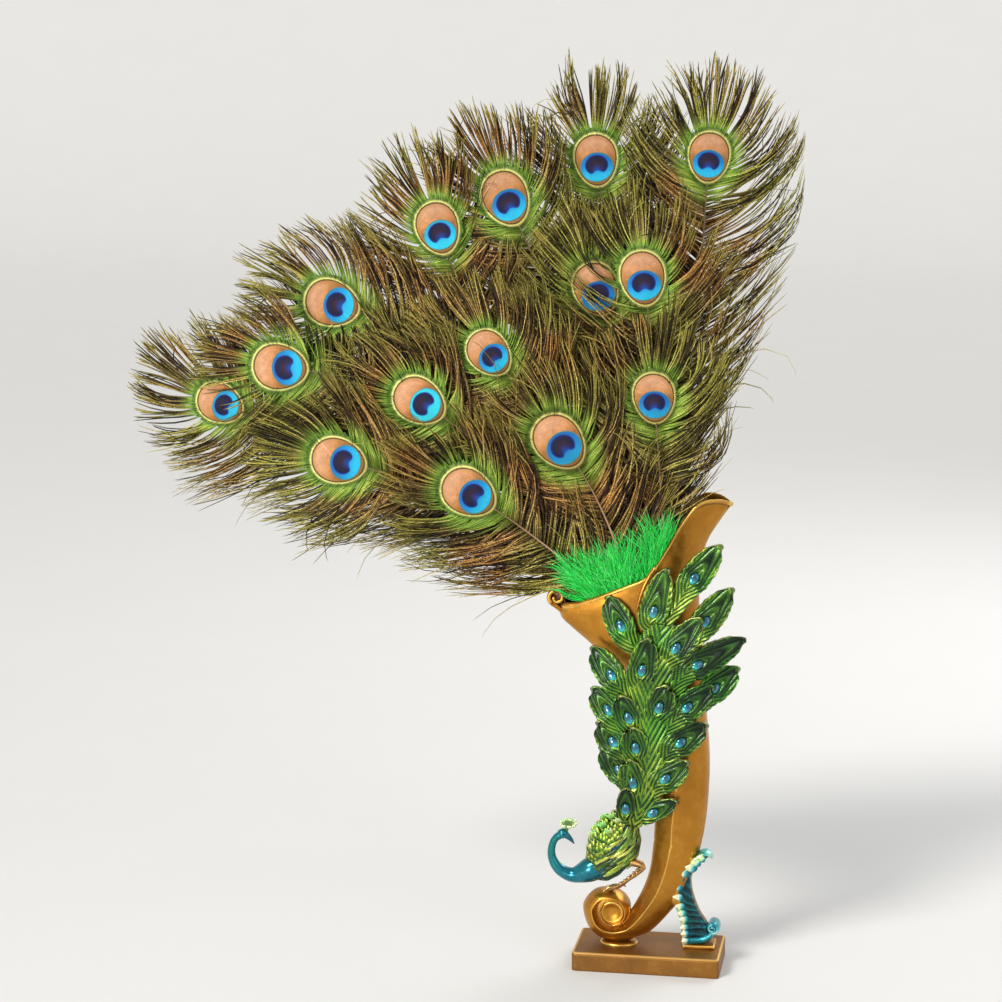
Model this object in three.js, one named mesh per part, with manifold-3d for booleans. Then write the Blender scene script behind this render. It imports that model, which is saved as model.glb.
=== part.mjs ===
// Peacock feathers in a small horn-shaped vase with a perching peacock ornament.
// Millimetres, +Z up, +X along the plinth, -Y towards the front. The origin is the
// middle of the plinth's underside.

import * as THREE from 'three';
import { mergeVertices } from 'three/addons/utils/BufferGeometryUtils.js';
import Module from 'manifold-3d';

const wasm = await Module();
wasm.setup();

// ---------------------------------------------------------------- driving sizes

const GAP = 0.35;                       // clearance between pieces that touch

const PLINTH_LENGTH = 120;
const PLINTH_DEPTH = 64;
const PLINTH_HEIGHT = 15.6;
const PLINTH_EDGE = 1.2;

const WALL = 3;                         // wall of the hollow horn
const RING_POINTS = 26;
const RING_POWER = 2.3;                 // 2 is an ellipse, more is squarer

// The horn from its mouth down: left and right outline points [x, z], half depth in
// Y, and how strongly the level follows the wavy rim.
const HORN_LEVELS = [
  { left: [-75, 300], right: [63, 384], depth: 28, rim: 1 },
  { left: [-75, 290], right: [52, 368], depth: 28, rim: 0.75 },
  { left: [-66, 281], right: [43, 352], depth: 28, rim: 0.5 },
  { left: [-53, 270], right: [38, 330], depth: 27.5, rim: 0.28 },
  { left: [-38, 257], right: [37.5, 300], depth: 26.5, rim: 0.12 },
  { left: [-21, 245.5], right: [39.5, 265], depth: 25, rim: 0.03 },
  { left: [-7, 229], right: [42.5, 232], depth: 23.5, rim: 0 },
  { left: [1, 207], right: [45.5, 203], depth: 21.5, rim: 0 },
  { left: [4.5, 182], right: [47.5, 178], depth: 19.5, rim: 0 },
  { left: [5, 155], right: [47.4, 152], depth: 17.5, rim: 0 },
  { left: [4, 128], right: [45.6, 127], depth: 15.5, rim: 0 },
  { left: [2.6, 100], right: [42, 103], depth: 14, rim: 0 },
];
const CAVITY_LEVELS = 7;                // the hollow reaches down this many levels

// Front half of the rim, from the pointed lip on the right round to the left end.
const FRONT_RIM = [
  [63, 0, 384], [52, -9, 387.5], [38, -17, 385], [25, -22, 369], [15.5, -25, 352],
  [6, -27, 336], [-4, -28, 325], [-17, -28, 319], [-31, -27, 313], [-45, -24, 307],
  [-59, -20.5, 302], [-70, -16, 299.8], [-75, 0, 300],
];
const REAR_RIM_RISE = 5;

const CURL = { x: -76.5, z: 305.3, radius: 7.8, length: 34 };

// The leg below the horn, down to the volute.
const LEG_LEVELS = [
  { left: [2.6, 99.6], right: [41.9, 102.6], depth: 14 },
  { left: [0, 80], right: [36.5, 82], depth: 13 },
  { left: [-5.6, 63], right: [28.5, 61], depth: 12 },
  { left: [-14, 50], right: [15.5, 42], depth: 11.5 },
  { left: [-22, 41], right: [-2, 25.5], depth: 11 },
];
// Outline of the volute, with the end of the leg inside it.
const VOLUTE_OUTLINE = [
  [-2, 25], [-14, 18.6], [-28, 16], [-42, 20], [-51, 29], [-55, 42], [-52, 52.5],
  [-45.5, 59], [-37, 61], [-28, 60], [-20.5, 55.5], [-16, 48], [-8, 44],
];
const VOLUTE_DEPTH = 22;

const BRACKET_OUTLINE = [
  [29.2, 16], [27.8, 30], [28.9, 41], [25.5, 54.5], [21.3, 65.3], [27, 76], [34.5, 86.5],
  [38.8, 95], [45, 98], [51, 95.5], [48.6, 91.5], [41.4, 86], [35.8, 74], [35.2, 60],
  [39.5, 44.3], [44.5, 37.7], [49, 39.5], [54.5, 38.5], [57.6, 33.5], [57, 27], [53.4, 23.5],
  [54.6, 20], [54.6, 16],
];
const BRACKET_DEPTH = 18;
const BRACKET_Y = 2;

const BIRD_BODY = { x: -30, y: -7, z: 98, halfLength: 31, halfWidth: 20, halfDepth: 14, lean: 24 };
const NECK_ROUTE = [
  [-38, -7, 84], [-47, -7.5, 79.5], [-57.6, -8, 77.5], [-69, -8.5, 80.5], [-76.6, -9, 87],
  [-79.6, -9, 96], [-77, -9, 103.5], [-71, -9, 107.6], [-66, -9, 106.5],
];
const NECK_RADII = [10, 8, 6, 5, 4, 3.3, 3, 3.3, 2.6];
const BEAK_TIP = [-61.2, -9, 100];
const CREST_BASE = [-68, -9, 111.4];
const CREST_FLORETS = [[-73, 118], [-69.5, 120.5], [-65.5, 121], [-61.5, 119]];
const CREST_STALK_RADII = [1.2, 0.9, 1.1];
const FLORET_RADIUS = 2.3;
const BEAK_MIDDLE = [-65, -9, 104.6];
const BEAK_RADII = [3, 2, 0.5];
const BODY_CLEARANCE = 1.03;            // the body's scale when it is cut from its neighbours

// Hip, knee, ankle and front toe of each leg of the bird.
const BIRD_LEG_ROUTES = [
  [[-12, -12, 86], [-4.4, -14, 83.6], [-29, -9, 64.3], [-37, -8, 63.4]],
  [[-13, -3, 84], [-6.5, -2, 82], [-25, -3, 63.6], [-33, -2, 63.6]],
];
const BIRD_LEG_RADII = [2.2, 1.3, 1.2, 0.9];
const TOE_BRIDGE_RADIUS = 1.1;          // the web that joins the two feet

// Middle line of the cast tail, from the bird's rump up to the shoulder of the horn.
const TAIL_STEM = [
  [-11, -15, 121], [-4, -22, 143], [0, -25.5, 176], [1, -27.5, 205], [2.4, -30, 234],
  [5.3, -32.5, 263], [12, -34.5, 292],
];
const TAIL_STEM_BASE = TAIL_STEM[0][2];
const TAIL_STEM_RISE = TAIL_STEM.at(-1)[2] - TAIL_STEM_BASE;
const TAIL_STEM_RADII = [4.6, 6.1, 6.1, 6.1, 6.1, 6.1, 6.1];
// The plumes lie this far in front of the stem over a flat strip of this half width, and
// fall back beyond it, evenly and with the square of the distance.
const PLUME_SURFACE = { proud: 2.5, flatHalf: 12, slope: 0.1, curve: 0.0072 };
const PLUME_TIP_PROUD = 2;
// Where a plume leaves the stem: at least so far above its base, and so far below the
// stone, more for a stone that stands aside.
const PLUME_FOOT = { aboveBase: 4, belowStone: 16, perAside: 0.75 };
const PLUME_NECK = 9;                   // from the stone's middle down to the plume's neck
// Each cast plume: its blue stone and its tip, [x, z].
const TAIL_PLUMES = [
  { stone: [4.2, 132.9], tip: [24.5, 144.7] },
  { stone: [-17.6, 135.9], tip: [-15.8, 156.8] },
  { stone: [-11.4, 158.7], tip: [-15.2, 180] },
  { stone: [-22.3, 168.2], tip: [-38.2, 187.3] },
  { stone: [14.4, 163.2], tip: [32.9, 178.1] },
  { stone: [-9.2, 188.5], tip: [-12.2, 206.8] },
  { stone: [-27.3, 191.3], tip: [-40.7, 207.1] },
  { stone: [26.1, 193.4], tip: [46.9, 208.2] },
  { stone: [-14.8, 213.1], tip: [-22.6, 231.9] },
  { stone: [-31.5, 217.4], tip: [-44.9, 235] },
  { stone: [9.7, 223], tip: [17, 243] },
  { stone: [31.3, 222.6], tip: [52, 239.7] },
  { stone: [51.8, 236.9], tip: [70.2, 252.9] },
  { stone: [-28.9, 247], tip: [-45.6, 268.2] },
  { stone: [-4, 253.5], tip: [2.5, 282] },
  { stone: [38.8, 257.9], tip: [75.1, 277.2] },
  { stone: [22.8, 272.5], tip: [43.3, 298.1] },
  { stone: [-21.2, 287.8], tip: [-33, 310.9] },
  { stone: [45.1, 293.3], tip: [65.7, 319.7] },
  { stone: [5.1, 301.7], tip: [15.4, 337.7] },
  { stone: [36.3, 328.6], tip: [56.7, 355.1] },
];
const PLUME_THICKNESS = 2.4;
const PLUME_WIDTH = 24.5;
const SLIM_PLUMES = 2;                  // the first plumes, beside the bird's rump, are slimmer
const SLIM_SHARE = 0.66;
const STONE = { halfLength: 4.6, halfWidth: 3.3, rise: 2 };
const STONE_MARGIN = 0.7;
const STONE_ROOM = 12;                  // depth kept free in front of each stone

// The natural feathers from front to back: where each crosses the mouth, how far it
// leans there, where its eye is and how far the shaft leans at the eye (degrees from
// vertical, minus to the left), how far its quill reaches down into the horn, and, for
// the one feather that is broader, how much broader it is.
const FEATHERS = [
  { mouth: [-40.3, 313.6], lean: -50, eye: [-144.7, 391.3], eyeLean: -59, quill: 66 },
  { mouth: [-16.6, 318], lean: -18, eye: [-72.7, 433.1], eyeLean: -39.5, quill: 66 },
  { mouth: [11, 334.7], lean: -3, eye: [1.9, 469.3], eyeLean: -5, quill: 84 },
  { mouth: [-41.3, 316.2], lean: -56, eye: [-252.3, 413.1], eyeLean: -78, quill: 76 },
  { mouth: [-37.6, 311.7], lean: -38, eye: [-187.1, 462.1], eyeLean: -59, quill: 72 },
  { mouth: [-25.8, 315.7], lean: -20, eye: [-131.3, 501], eyeLean: -43, quill: 66 },
  { mouth: [-34.3, 319], lean: -42, eye: [-303.5, 486.1], eyeLean: -86, quill: 80 },
  { mouth: [-42.6, 314.2], lean: -62, eye: [-356.1, 454.8], eyeLean: -68, quill: 78 },
  { mouth: [1.4, 327.4], lean: 3, eye: [-10.8, 560.9], eyeLean: -10, quill: 76 },
  { mouth: [-11, 322.4], lean: -1, eye: [-48.8, 551.3], eyeLean: -20, quill: 74 },
  { mouth: [-27.4, 317.3], lean: -30, eye: [-266.2, 536.1], eyeLean: -76, quill: 76 },
  { mouth: [-19.6, 317.1], lean: -36, eye: [-179.4, 597.3], eyeLean: -21, quill: 76 },
  { mouth: [-19.9, 314.1], lean: -11, eye: [-125, 621.4], eyeLean: -27.6, quill: 62 },
  { mouth: [8.1, 325.2], lean: 7, eye: [36.9, 654.7], eyeLean: 2.6, quill: 72, wide: 1.3 },
  { mouth: [-12.4, 324.1], lean: -5, eye: [-54.2, 651.6], eyeLean: -9, quill: 72 },
];
const LAYER_DEPTH = 17.5;               // half depth of the bunch in the mouth
const LAYER_SPREAD = 0.09;              // growth of that half depth per mm away from it
const SPREAD_START = [-40, 330];
const SHAFT_HANDLE = 0.36;              // curve handles, as a share of the straight distance
const VANE_BEYOND_EYE = 66;
const SHAFT_RADIUS = 1;
const QUILL_HALF_WIDTH = 1.2;
const BARE_HALF_WIDTH = 2;              // below this half width the vane is only a quill
const VANE_HALF_THICKNESS = 0.3;
// Half width of the vane at fractions of the way from the mouth to the tip.
const VANE_PROFILE = [
  [0, 1.2], [0.08, 4.5], [0.17, 12], [0.28, 25], [0.4, 34], [0.52, 38], [0.64, 40],
  [0.75, 42], [0.84, 43], [0.9, 41], [0.945, 34], [0.98, 22], [1, 8],
];

// The dyed hackles: root in the mouth, tip, [x, z], and whether they stand in front of
// the feathers (-1) or behind them (1).
const GREEN_PLUMES = [
  { root: [-25, 289], tip: [-70, 340], face: -1 },
  { root: [-18, 284], tip: [-45, 348], face: -1 },
  { root: [-8, 284], tip: [-26, 352], face: -1 },
  { root: [4, 288], tip: [2, 366], face: -1 },
  { root: [-24, 284], tip: [-56, 340], face: 1 },
  { root: [-8, 284], tip: [-12, 360], face: 1 },
  { root: [2, 288], tip: [6, 370], face: 1 },
];
const GREEN_LAYER = 1.115;              // share of the bunch's half depth
const GREEN_HALF_THICKNESS = 0.8;
// Half width of a hackle at fractions of the way from its root to its tip.
const GREEN_PROFILE = [[0, 0.65], [0.2, 1.95], [0.4, 5.2], [0.6, 6.5], [0.8, 5.2], [1, 0.975]];

// ---------------------------------------------------------------- colours

const GOLD = { color: 0xb8781c, roughness: 0.38, metalness: 0.75 };
const TEAL = { color: 0x1c8f96, roughness: 0.3, metalness: 0.5 };
const LEAF = { color: 0x4a8a2a, roughness: 0.3, metalness: 0.45 };
const BRONZE = { color: 0x6a3f24, roughness: 0.4, metalness: 0.5 };
const CREAM = { color: 0xbfc98a, roughness: 0.4, metalness: 0.3 };
const STONE_BLUE = { color: 0x1484a8, roughness: 0.08, metalness: 0 };
const BARB = { color: 0x5a5a22, roughness: 0.6, metalness: 0.1 };
const DYED = { color: 0x18c850, roughness: 0.7, metalness: 0 };

// ---------------------------------------------------------------- helpers

// Closed solid through rings of equal point counts, with a fan over each end.
function loft(rings) {
  const count = rings[0].length;
  const positions = [];
  const triangles = [];
  rings.forEach((ring) => ring.forEach((p) => positions.push(...p)));
  for (let k = 0; k + 1 < rings.length; k += 1) {
    for (let j = 0; j < count; j += 1) {
      const a = k * count + j;
      const b = k * count + ((j + 1) % count);
      triangles.push(a, b, b + count, a, b + count, a + count);
    }
  }
  const cap = (ring, start, flip) => {
    const centre = positions.length / 3;
    const middle = [0, 1, 2].map((axis) => ring.reduce((sum, p) => sum + p[axis], 0) / count);
    positions.push(...middle);
    for (let j = 0; j < count; j += 1) {
      const a = start + j;
      const b = start + ((j + 1) % count);
      triangles.push(...(flip ? [centre, b, a] : [centre, a, b]));
    }
  };
  cap(rings[0], 0, true);
  cap(rings[rings.length - 1], (rings.length - 1) * count, false);
  const geometry = new THREE.BufferGeometry();
  geometry.setAttribute('position', new THREE.Float32BufferAttribute(positions, 3));
  geometry.setIndex(triangles);
  return facingOut(geometry);
}

// Turns every face over when the solid's signed volume is negative.
function facingOut(geometry) {
  const p = geometry.getAttribute('position');
  const index = geometry.getIndex().array;
  const corner = (k) => new THREE.Vector3().fromBufferAttribute(p, index[k]);
  let volume = 0;
  for (let k = 0; k < index.length; k += 3) {
    volume += corner(k).dot(corner(k + 1).cross(corner(k + 2)));
  }
  if (volume < 0) {
    for (let k = 0; k < index.length; k += 3) {
      [index[k], index[k + 1]] = [index[k + 1], index[k]];
    }
  }
  return geometry;
}

function solid(geometry) {
  const bare = geometry.clone();
  bare.deleteAttribute('normal');
  bare.deleteAttribute('uv');
  const merged = mergeVertices(bare, 1e-4);
  return new wasm.Manifold(new wasm.Mesh({
    numProp: 3,
    vertProperties: new Float32Array(merged.getAttribute('position').array),
    triVerts: new Uint32Array(merged.getIndex().array),
  }));
}

// Geometry of a solid; chips that a cut leaves behind are dropped.
function geometryOf(manifold) {
  const pieces = manifold.decompose();
  const largest = pieces.reduce((a, b) => (a.volume() > b.volume() ? a : b));
  const { vertProperties, triVerts } = largest.getMesh();
  const geometry = new THREE.BufferGeometry();
  geometry.setAttribute('position', new THREE.Float32BufferAttribute(vertProperties, 3));
  geometry.setIndex([...triVerts]);
  return geometry;
}

function union(solids) {
  return solids.reduce((a, b) => a.add(b));
}

const object = new THREE.Group();

function place(name, geometry, finish) {
  const mesh = new THREE.Mesh(geometry, new THREE.MeshStandardMaterial(finish));
  mesh.name = name;
  object.add(mesh);
}

// Outline in the XZ plane, given a depth in Y about the plane y.
function slab(outline, depth, y) {
  const shape = new THREE.Shape(outline.map(([x, z]) => new THREE.Vector2(x, z)));
  const geometry = new THREE.ExtrudeGeometry(shape, { depth, bevelEnabled: false, steps: 1 });
  geometry.rotateX(Math.PI / 2);
  geometry.translate(0, y + depth / 2, 0);
  return geometry;
}

// Round tube through points, with a radius at each of them.
function tube(points, radii, sides) {
  const curve = new THREE.CatmullRomCurve3(points.map((p) => new THREE.Vector3(...p)));
  const rings = points.map((_, k) => {
    const t = k / (points.length - 1);
    const centre = curve.getPoint(t);
    const along = curve.getTangent(t);
    const across = new THREE.Vector3(0, 1, 0);
    across.addScaledVector(along, -across.dot(along)).normalize();
    const up = new THREE.Vector3().crossVectors(along, across);
    return Array.from({ length: sides }, (__, j) => {
      const angle = (2 * Math.PI * j) / sides;
      return centre.clone()
        .addScaledVector(across, radii[k] * Math.cos(angle))
        .addScaledVector(up, radii[k] * Math.sin(angle))
        .toArray();
    });
  });
  return loft(rings);
}

const sharpen = (value) => Math.sign(value) * Math.abs(value) ** (2 / RING_POWER);

// Superellipse ring between a left and a right outline point.
function ringBetween(left, right, depth, grow = 0) {
  const middle = [(left[0] + right[0]) / 2, (left[1] + right[1]) / 2];
  const half = [(right[0] - left[0]) / 2, (right[1] - left[1]) / 2];
  const width = Math.hypot(...half);
  const reach = (width + grow) / width;
  return Array.from({ length: RING_POINTS }, (_, j) => {
    const angle = (2 * Math.PI * j) / RING_POINTS;
    const across = sharpen(Math.cos(angle)) * reach;
    return [
      middle[0] + half[0] * across,
      (depth + grow) * sharpen(Math.sin(angle)),
      middle[1] + half[1] * across,
    ];
  });
}

// ---------------------------------------------------------------- plinth

function plinth() {
  const x = PLINTH_LENGTH / 2;
  const y = PLINTH_DEPTH / 2;
  const ring = (inset, z) => [
    [x - inset, y - inset, z], [inset - x, y - inset, z],
    [inset - x, inset - y, z], [x - inset, inset - y, z],
  ];
  return loft([
    ring(0, 0),
    ring(0, PLINTH_HEIGHT - PLINTH_EDGE),
    ring(PLINTH_EDGE, PLINTH_HEIGHT),
  ]);
}

// ---------------------------------------------------------------- horn

// How far each rim point stands off the plain top ring.
function rimOffsets() {
  const half = new THREE.CatmullRomCurve3(FRONT_RIM.map((p) => new THREE.Vector3(...p)));
  const top = ringBetween(HORN_LEVELS[0].left, HORN_LEVELS[0].right, HORN_LEVELS[0].depth);
  return top.map((p, j) => {
    const turn = (2 * j) / RING_POINTS;
    const front = turn >= 1;
    const point = half.getPoint(front ? 2 - turn : turn);
    const rise = front ? 0 : REAR_RIM_RISE * Math.sin(Math.PI * turn);
    return [point.x - p[0], (front ? point.y : -point.y) - p[1], point.z + rise - p[2]];
  });
}

function hornRings(levels, grow) {
  const offsets = rimOffsets();
  return levels.map((level) => ringBetween(level.left, level.right, level.depth, grow)
    .map((p, j) => p.map((value, axis) => value + offsets[j][axis] * level.rim)));
}

function hornOutside(grow) {
  return loft(hornRings(HORN_LEVELS, grow));
}

function horn() {
  const outer = hornRings(HORN_LEVELS, 0).reverse();
  const inner = hornRings(HORN_LEVELS.slice(0, CAVITY_LEVELS), -WALL);
  const shell = solid(loft([...outer, ...inner]));
  const roll = new THREE.CylinderGeometry(CURL.radius, CURL.radius, CURL.length, 12);
  roll.translate(CURL.x, 0, CURL.z);
  return geometryOf(shell.add(solid(roll)));
}

// ---------------------------------------------------------------- scroll foot

function scrollFoot() {
  const leg = loft(LEG_LEVELS.map((level) => ringBetween(level.left, level.right, level.depth)));
  return solid(leg).add(solid(slab(VOLUTE_OUTLINE, VOLUTE_DEPTH, 0)));
}

function legOutside() {
  const upper = HORN_LEVELS.slice(-2);
  const levels = [...upper, ...LEG_LEVELS.slice(1)];
  return solid(loft(levels.map((level) => ringBetween(level.left, level.right, level.depth, GAP))));
}

// ---------------------------------------------------------------- bracket

function bracket() {
  return solid(slab(BRACKET_OUTLINE, BRACKET_DEPTH, BRACKET_Y)).subtract(legOutside());
}

// ---------------------------------------------------------------- bird

function birdBody(scale) {
  const egg = [
    [0, -1], [0.42, -0.88], [0.74, -0.6], [0.95, -0.2], [1, 0.12], [0.84, 0.5], [0.5, 0.82], [0, 1],
  ];
  const profile = egg.map(([r, h]) => new THREE.Vector2(
    r * BIRD_BODY.halfWidth * scale,
    h * BIRD_BODY.halfLength * scale,
  ));
  const geometry = new THREE.LatheGeometry(profile, 16);
  geometry.rotateX(Math.PI / 2);
  geometry.scale(1, BIRD_BODY.halfDepth / BIRD_BODY.halfWidth, 1);
  geometry.rotateY(THREE.MathUtils.degToRad(BIRD_BODY.lean));
  geometry.translate(BIRD_BODY.x, BIRD_BODY.y, BIRD_BODY.z);
  return solid(facingOut(mergeVertices(stripped(geometry), 1e-4)));
}

function stripped(geometry) {
  geometry.deleteAttribute('normal');
  geometry.deleteAttribute('uv');
  return geometry;
}

function bird() {
  const neck = solid(tube(NECK_ROUTE, NECK_RADII, 8));
  const head = NECK_ROUTE[NECK_ROUTE.length - 2];
  const beak = solid(tube([head, BEAK_MIDDLE, BEAK_TIP], BEAK_RADII, 6));
  return union([birdBody(1), neck, beak]);
}

function crest() {
  const [baseX, y, baseZ] = CREST_BASE;
  const stalks = CREST_FLORETS.map(([x, z]) => {
    const middle = [(baseX + x) / 2, y, (baseZ + z) / 2];
    return solid(tube([CREST_BASE, middle, [x, y, z]], CREST_STALK_RADII, 4));
  });
  const florets = CREST_FLORETS.map(([x, z]) => {
    const ball = new THREE.SphereGeometry(FLORET_RADIUS, 5, 3);
    ball.translate(x, y, z);
    return solid(ball);
  });
  return union([...stalks, ...florets]);
}

function birdLegs() {
  const routes = BIRD_LEG_ROUTES.map((route) => solid(tube(route, BIRD_LEG_RADII, 6)));
  const ankles = BIRD_LEG_ROUTES.map((route) => route[2]);
  const bridge = solid(tube(ankles, [TOE_BRIDGE_RADIUS, TOE_BRIDGE_RADIUS], 6));
  return union([...routes, bridge]);
}

// ---------------------------------------------------------------- cast tail

const stemCurve = new THREE.CatmullRomCurve3(TAIL_STEM.map((p) => new THREE.Vector3(...p)));

const stemAt = (z) => stemCurve.getPoint(
  THREE.MathUtils.clamp((z - TAIL_STEM_BASE) / TAIL_STEM_RISE, 0, 1),
);

// Front surface that the plumes follow: it falls back to both sides of the stem.
function plumeY(x, z) {
  const middle = stemAt(z);
  const { proud, flatHalf, slope, curve } = PLUME_SURFACE;
  const aside = Math.max(0, Math.abs(x - middle.x) - flatHalf);
  return middle.y - proud + curve * aside * aside + slope * aside;
}

// Frame of a plume: foot on the stem, axes along, across and out of its face.
function plumeFrame({ stone, tip }) {
  const aside = Math.abs(stone[0] - stemCurve.getPoint(0.5).x);
  const { aboveBase, belowStone, perAside } = PLUME_FOOT;
  const foot = stemAt(Math.max(
    TAIL_STEM_BASE + aboveBase,
    stone[1] - belowStone - perAside * aside,
  ));
  const end = new THREE.Vector3(tip[0], plumeY(...tip) - PLUME_TIP_PROUD, tip[1]);
  const middle = new THREE.Vector3(stone[0], plumeY(...stone), stone[1]);
  const along = end.clone().sub(middle).normalize();
  const out = new THREE.Vector3(0, -1, 0);
  out.addScaledVector(along, -out.dot(along)).normalize();
  const across = new THREE.Vector3().crossVectors(along, out);
  return { foot, middle, end, along, across, out };
}

// Leaf-shaped plate from its root on the stem, past the stone, to the tip.
function plume(frame, index) {
  const reach = frame.end.distanceTo(frame.middle);
  const half = (PLUME_WIDTH / 2) * (index < SLIM_PLUMES ? SLIM_SHARE : 1);
  const neck = frame.middle.clone().addScaledVector(frame.along, -PLUME_NECK);
  const leaf = [[0, half], [reach * 0.45, half * 0.9], [reach * 0.8, half * 0.55], [reach, 0.8]];
  const stations = [
    { centre: frame.foot, width: 5, face: 2 },
    { centre: neck, width: half * 0.8, face: 1.2 },
    ...leaf.map(([distance, width]) => ({
      centre: frame.middle.clone().addScaledVector(frame.along, distance),
      width,
      face: PLUME_THICKNESS / 2,
    })),
  ];
  return solid(loft(stations.map(({ centre, width, face }) => {
    const corner = (side, rise) => centre.clone()
      .addScaledVector(frame.across, side * width)
      .addScaledVector(frame.out, rise)
      .toArray();
    return [corner(-1, 0), corner(0, -face), corner(1, 0), corner(0, face)];
  })));
}

function stoneDome(frame) {
  const steps = [[0, 0], [1, 0], [0.75, 0.7], [0, 1]];
  const profile = steps.map(([r, h]) => new THREE.Vector2(r, h * STONE.rise));
  const geometry = new THREE.LatheGeometry(profile, 8);
  geometry.scale(STONE.halfWidth, 1, STONE.halfLength);
  const base = frame.middle.clone().addScaledVector(frame.out, PLUME_THICKNESS / 2 + GAP);
  geometry.applyMatrix4(new THREE.Matrix4()
    .makeBasis(frame.across, frame.out, frame.along)
    .setPosition(base));
  return facingOut(mergeVertices(stripped(geometry), 1e-4));
}

// Room in front of a stone, so that no neighbouring plume runs into it.
function stoneRoom(frame) {
  const geometry = new THREE.CylinderGeometry(1, 1, STONE_ROOM, 6);
  geometry.scale(STONE.halfWidth + STONE_MARGIN, 1, STONE.halfLength + STONE_MARGIN);
  const forward = (PLUME_THICKNESS + STONE_ROOM) / 2;
  const base = frame.middle.clone().addScaledVector(frame.out, forward);
  geometry.applyMatrix4(new THREE.Matrix4()
    .makeBasis(frame.across, frame.out, frame.along)
    .setPosition(base));
  return solid(facingOut(mergeVertices(stripped(geometry), 1e-4)));
}

function tailTrain(frames) {
  const stem = solid(tube(TAIL_STEM, TAIL_STEM_RADII, 6));
  let train = union([stem, ...frames.map(plume)]);
  frames.forEach((frame) => {
    train = train.subtract(stoneRoom(frame));
  });
  return train.subtract(solid(hornOutside(GAP))).subtract(birdBody(BODY_CLEARANCE));
}

// ---------------------------------------------------------------- natural feathers

function layerY(share, x, z) {
  const left = Math.min(x - SPREAD_START[0], 0);
  const above = Math.max(z - SPREAD_START[1], 0);
  return share * (LAYER_DEPTH + LAYER_SPREAD * Math.hypot(left, above));
}

const leanVector = (degrees) => {
  const angle = THREE.MathUtils.degToRad(degrees);
  return new THREE.Vector2(Math.sin(angle), Math.cos(angle));
};

// Line of the shaft in the XZ plane, from the mouth to the eye.
function shaftCurve(feather) {
  const start = new THREE.Vector2(...feather.mouth);
  const eye = new THREE.Vector2(...feather.eye);
  const handle = start.distanceTo(eye) * SHAFT_HANDLE;
  return new THREE.CubicBezierCurve(
    start,
    start.clone().addScaledVector(leanVector(feather.lean), handle),
    eye.clone().addScaledVector(leanVector(feather.eyeLean), -handle),
    eye,
  );
}

// Eight-sided section: a thin vane with the shaft standing proud on both faces.
function vaneSection(centre, along, halfWidth, share) {
  const side = new THREE.Vector2(along.y, -along.x);
  const shoulder = Math.min(halfWidth * 0.7, SHAFT_RADIUS);
  const thin = halfWidth > BARE_HALF_WIDTH ? VANE_HALF_THICKNESS : SHAFT_RADIUS * 0.7;
  const outline = [
    [-halfWidth, 0], [-shoulder, -thin], [0, -SHAFT_RADIUS], [shoulder, -thin],
    [halfWidth, 0], [shoulder, thin], [0, SHAFT_RADIUS], [-shoulder, thin],
  ];
  return outline.map(([across, rise]) => {
    const p = centre.clone().addScaledVector(side, across);
    return [p.x, layerY(share, p.x, p.y) + rise, p.y];
  });
}

function feather(spec, share) {
  const curve = shaftCurve(spec);
  const length = curve.getLength();
  const total = length + VANE_BEYOND_EYE;
  const rings = [];
  const start = leanVector(spec.lean);
  const mouth = new THREE.Vector2(...spec.mouth);
  const quillEnd = mouth.clone().addScaledVector(start, -spec.quill);
  rings.push(vaneSection(quillEnd, start, QUILL_HALF_WIDTH, share));
  const tipward = leanVector(spec.eyeLean);
  VANE_PROFILE.forEach(([fraction, halfWidth]) => {
    const distance = fraction * total;
    const beyond = Math.max(0, distance - length);
    const t = Math.min(1, distance / length);
    const centre = curve.getPointAt(t).clone().addScaledVector(tipward, beyond);
    rings.push(vaneSection(centre, curve.getTangentAt(t), halfWidth * (spec.wide ?? 1), share));
  });
  return loft(rings);
}

// ---------------------------------------------------------------- dyed hackles

function greenPlume({ root, tip, face }) {
  const start = new THREE.Vector2(...root);
  const end = new THREE.Vector2(...tip);
  const along = end.clone().sub(start).normalize();
  const side = new THREE.Vector2(along.y, -along.x);
  const thin = GREEN_HALF_THICKNESS;
  return loft(GREEN_PROFILE.map(([t, half]) => {
    const centre = start.clone().lerp(end, t);
    return [[-half, 0], [0, -thin], [half, 0], [0, thin]].map(([across, rise]) => {
      const p = centre.clone().addScaledVector(side, across);
      return [p.x, layerY(face * GREEN_LAYER, p.x, p.y) + rise, p.y];
    });
  }));
}

// ---------------------------------------------------------------- assembly

const twoDigits = (n) => String(n).padStart(2, '0');

place('plinth', plinth(), GOLD);
place('horn', horn(), GOLD);
place('scroll_foot', geometryOf(scrollFoot()), GOLD);
place('acanthus_bracket', geometryOf(bracket()), TEAL);
place('peacock_bird', geometryOf(bird()), TEAL);
place('bird_crest', geometryOf(crest()), CREAM);
place('bird_legs', geometryOf(birdLegs().subtract(birdBody(BODY_CLEARANCE))), BRONZE);

const plumeFrames = TAIL_PLUMES.map(plumeFrame);
place('tail_train', geometryOf(tailTrain(plumeFrames)), LEAF);
plumeFrames.forEach((frame, k) => {
  place(`tail_gem_${twoDigits(k + 1)}`, stoneDome(frame), STONE_BLUE);
});

FEATHERS.forEach((spec, k) => {
  const share = (2 * k) / (FEATHERS.length - 1) - 1;
  place(`peacock_feather_${twoDigits(k + 1)}`, feather(spec, share), BARB);
});
GREEN_PLUMES.forEach((spec, k) => {
  place(`green_plume_${twoDigits(k + 1)}`, greenPlume(spec), DYED);
});

export default object;
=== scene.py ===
"""Peacock feathers in a small horn-shaped vase: the looks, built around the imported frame.

Lengths are millimetres in the frame's own axes (+Z up, -Y towards the front) until
Shells.make turns them into metres. Every piece is a mesh of closed shells.
"""

import math

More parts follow.
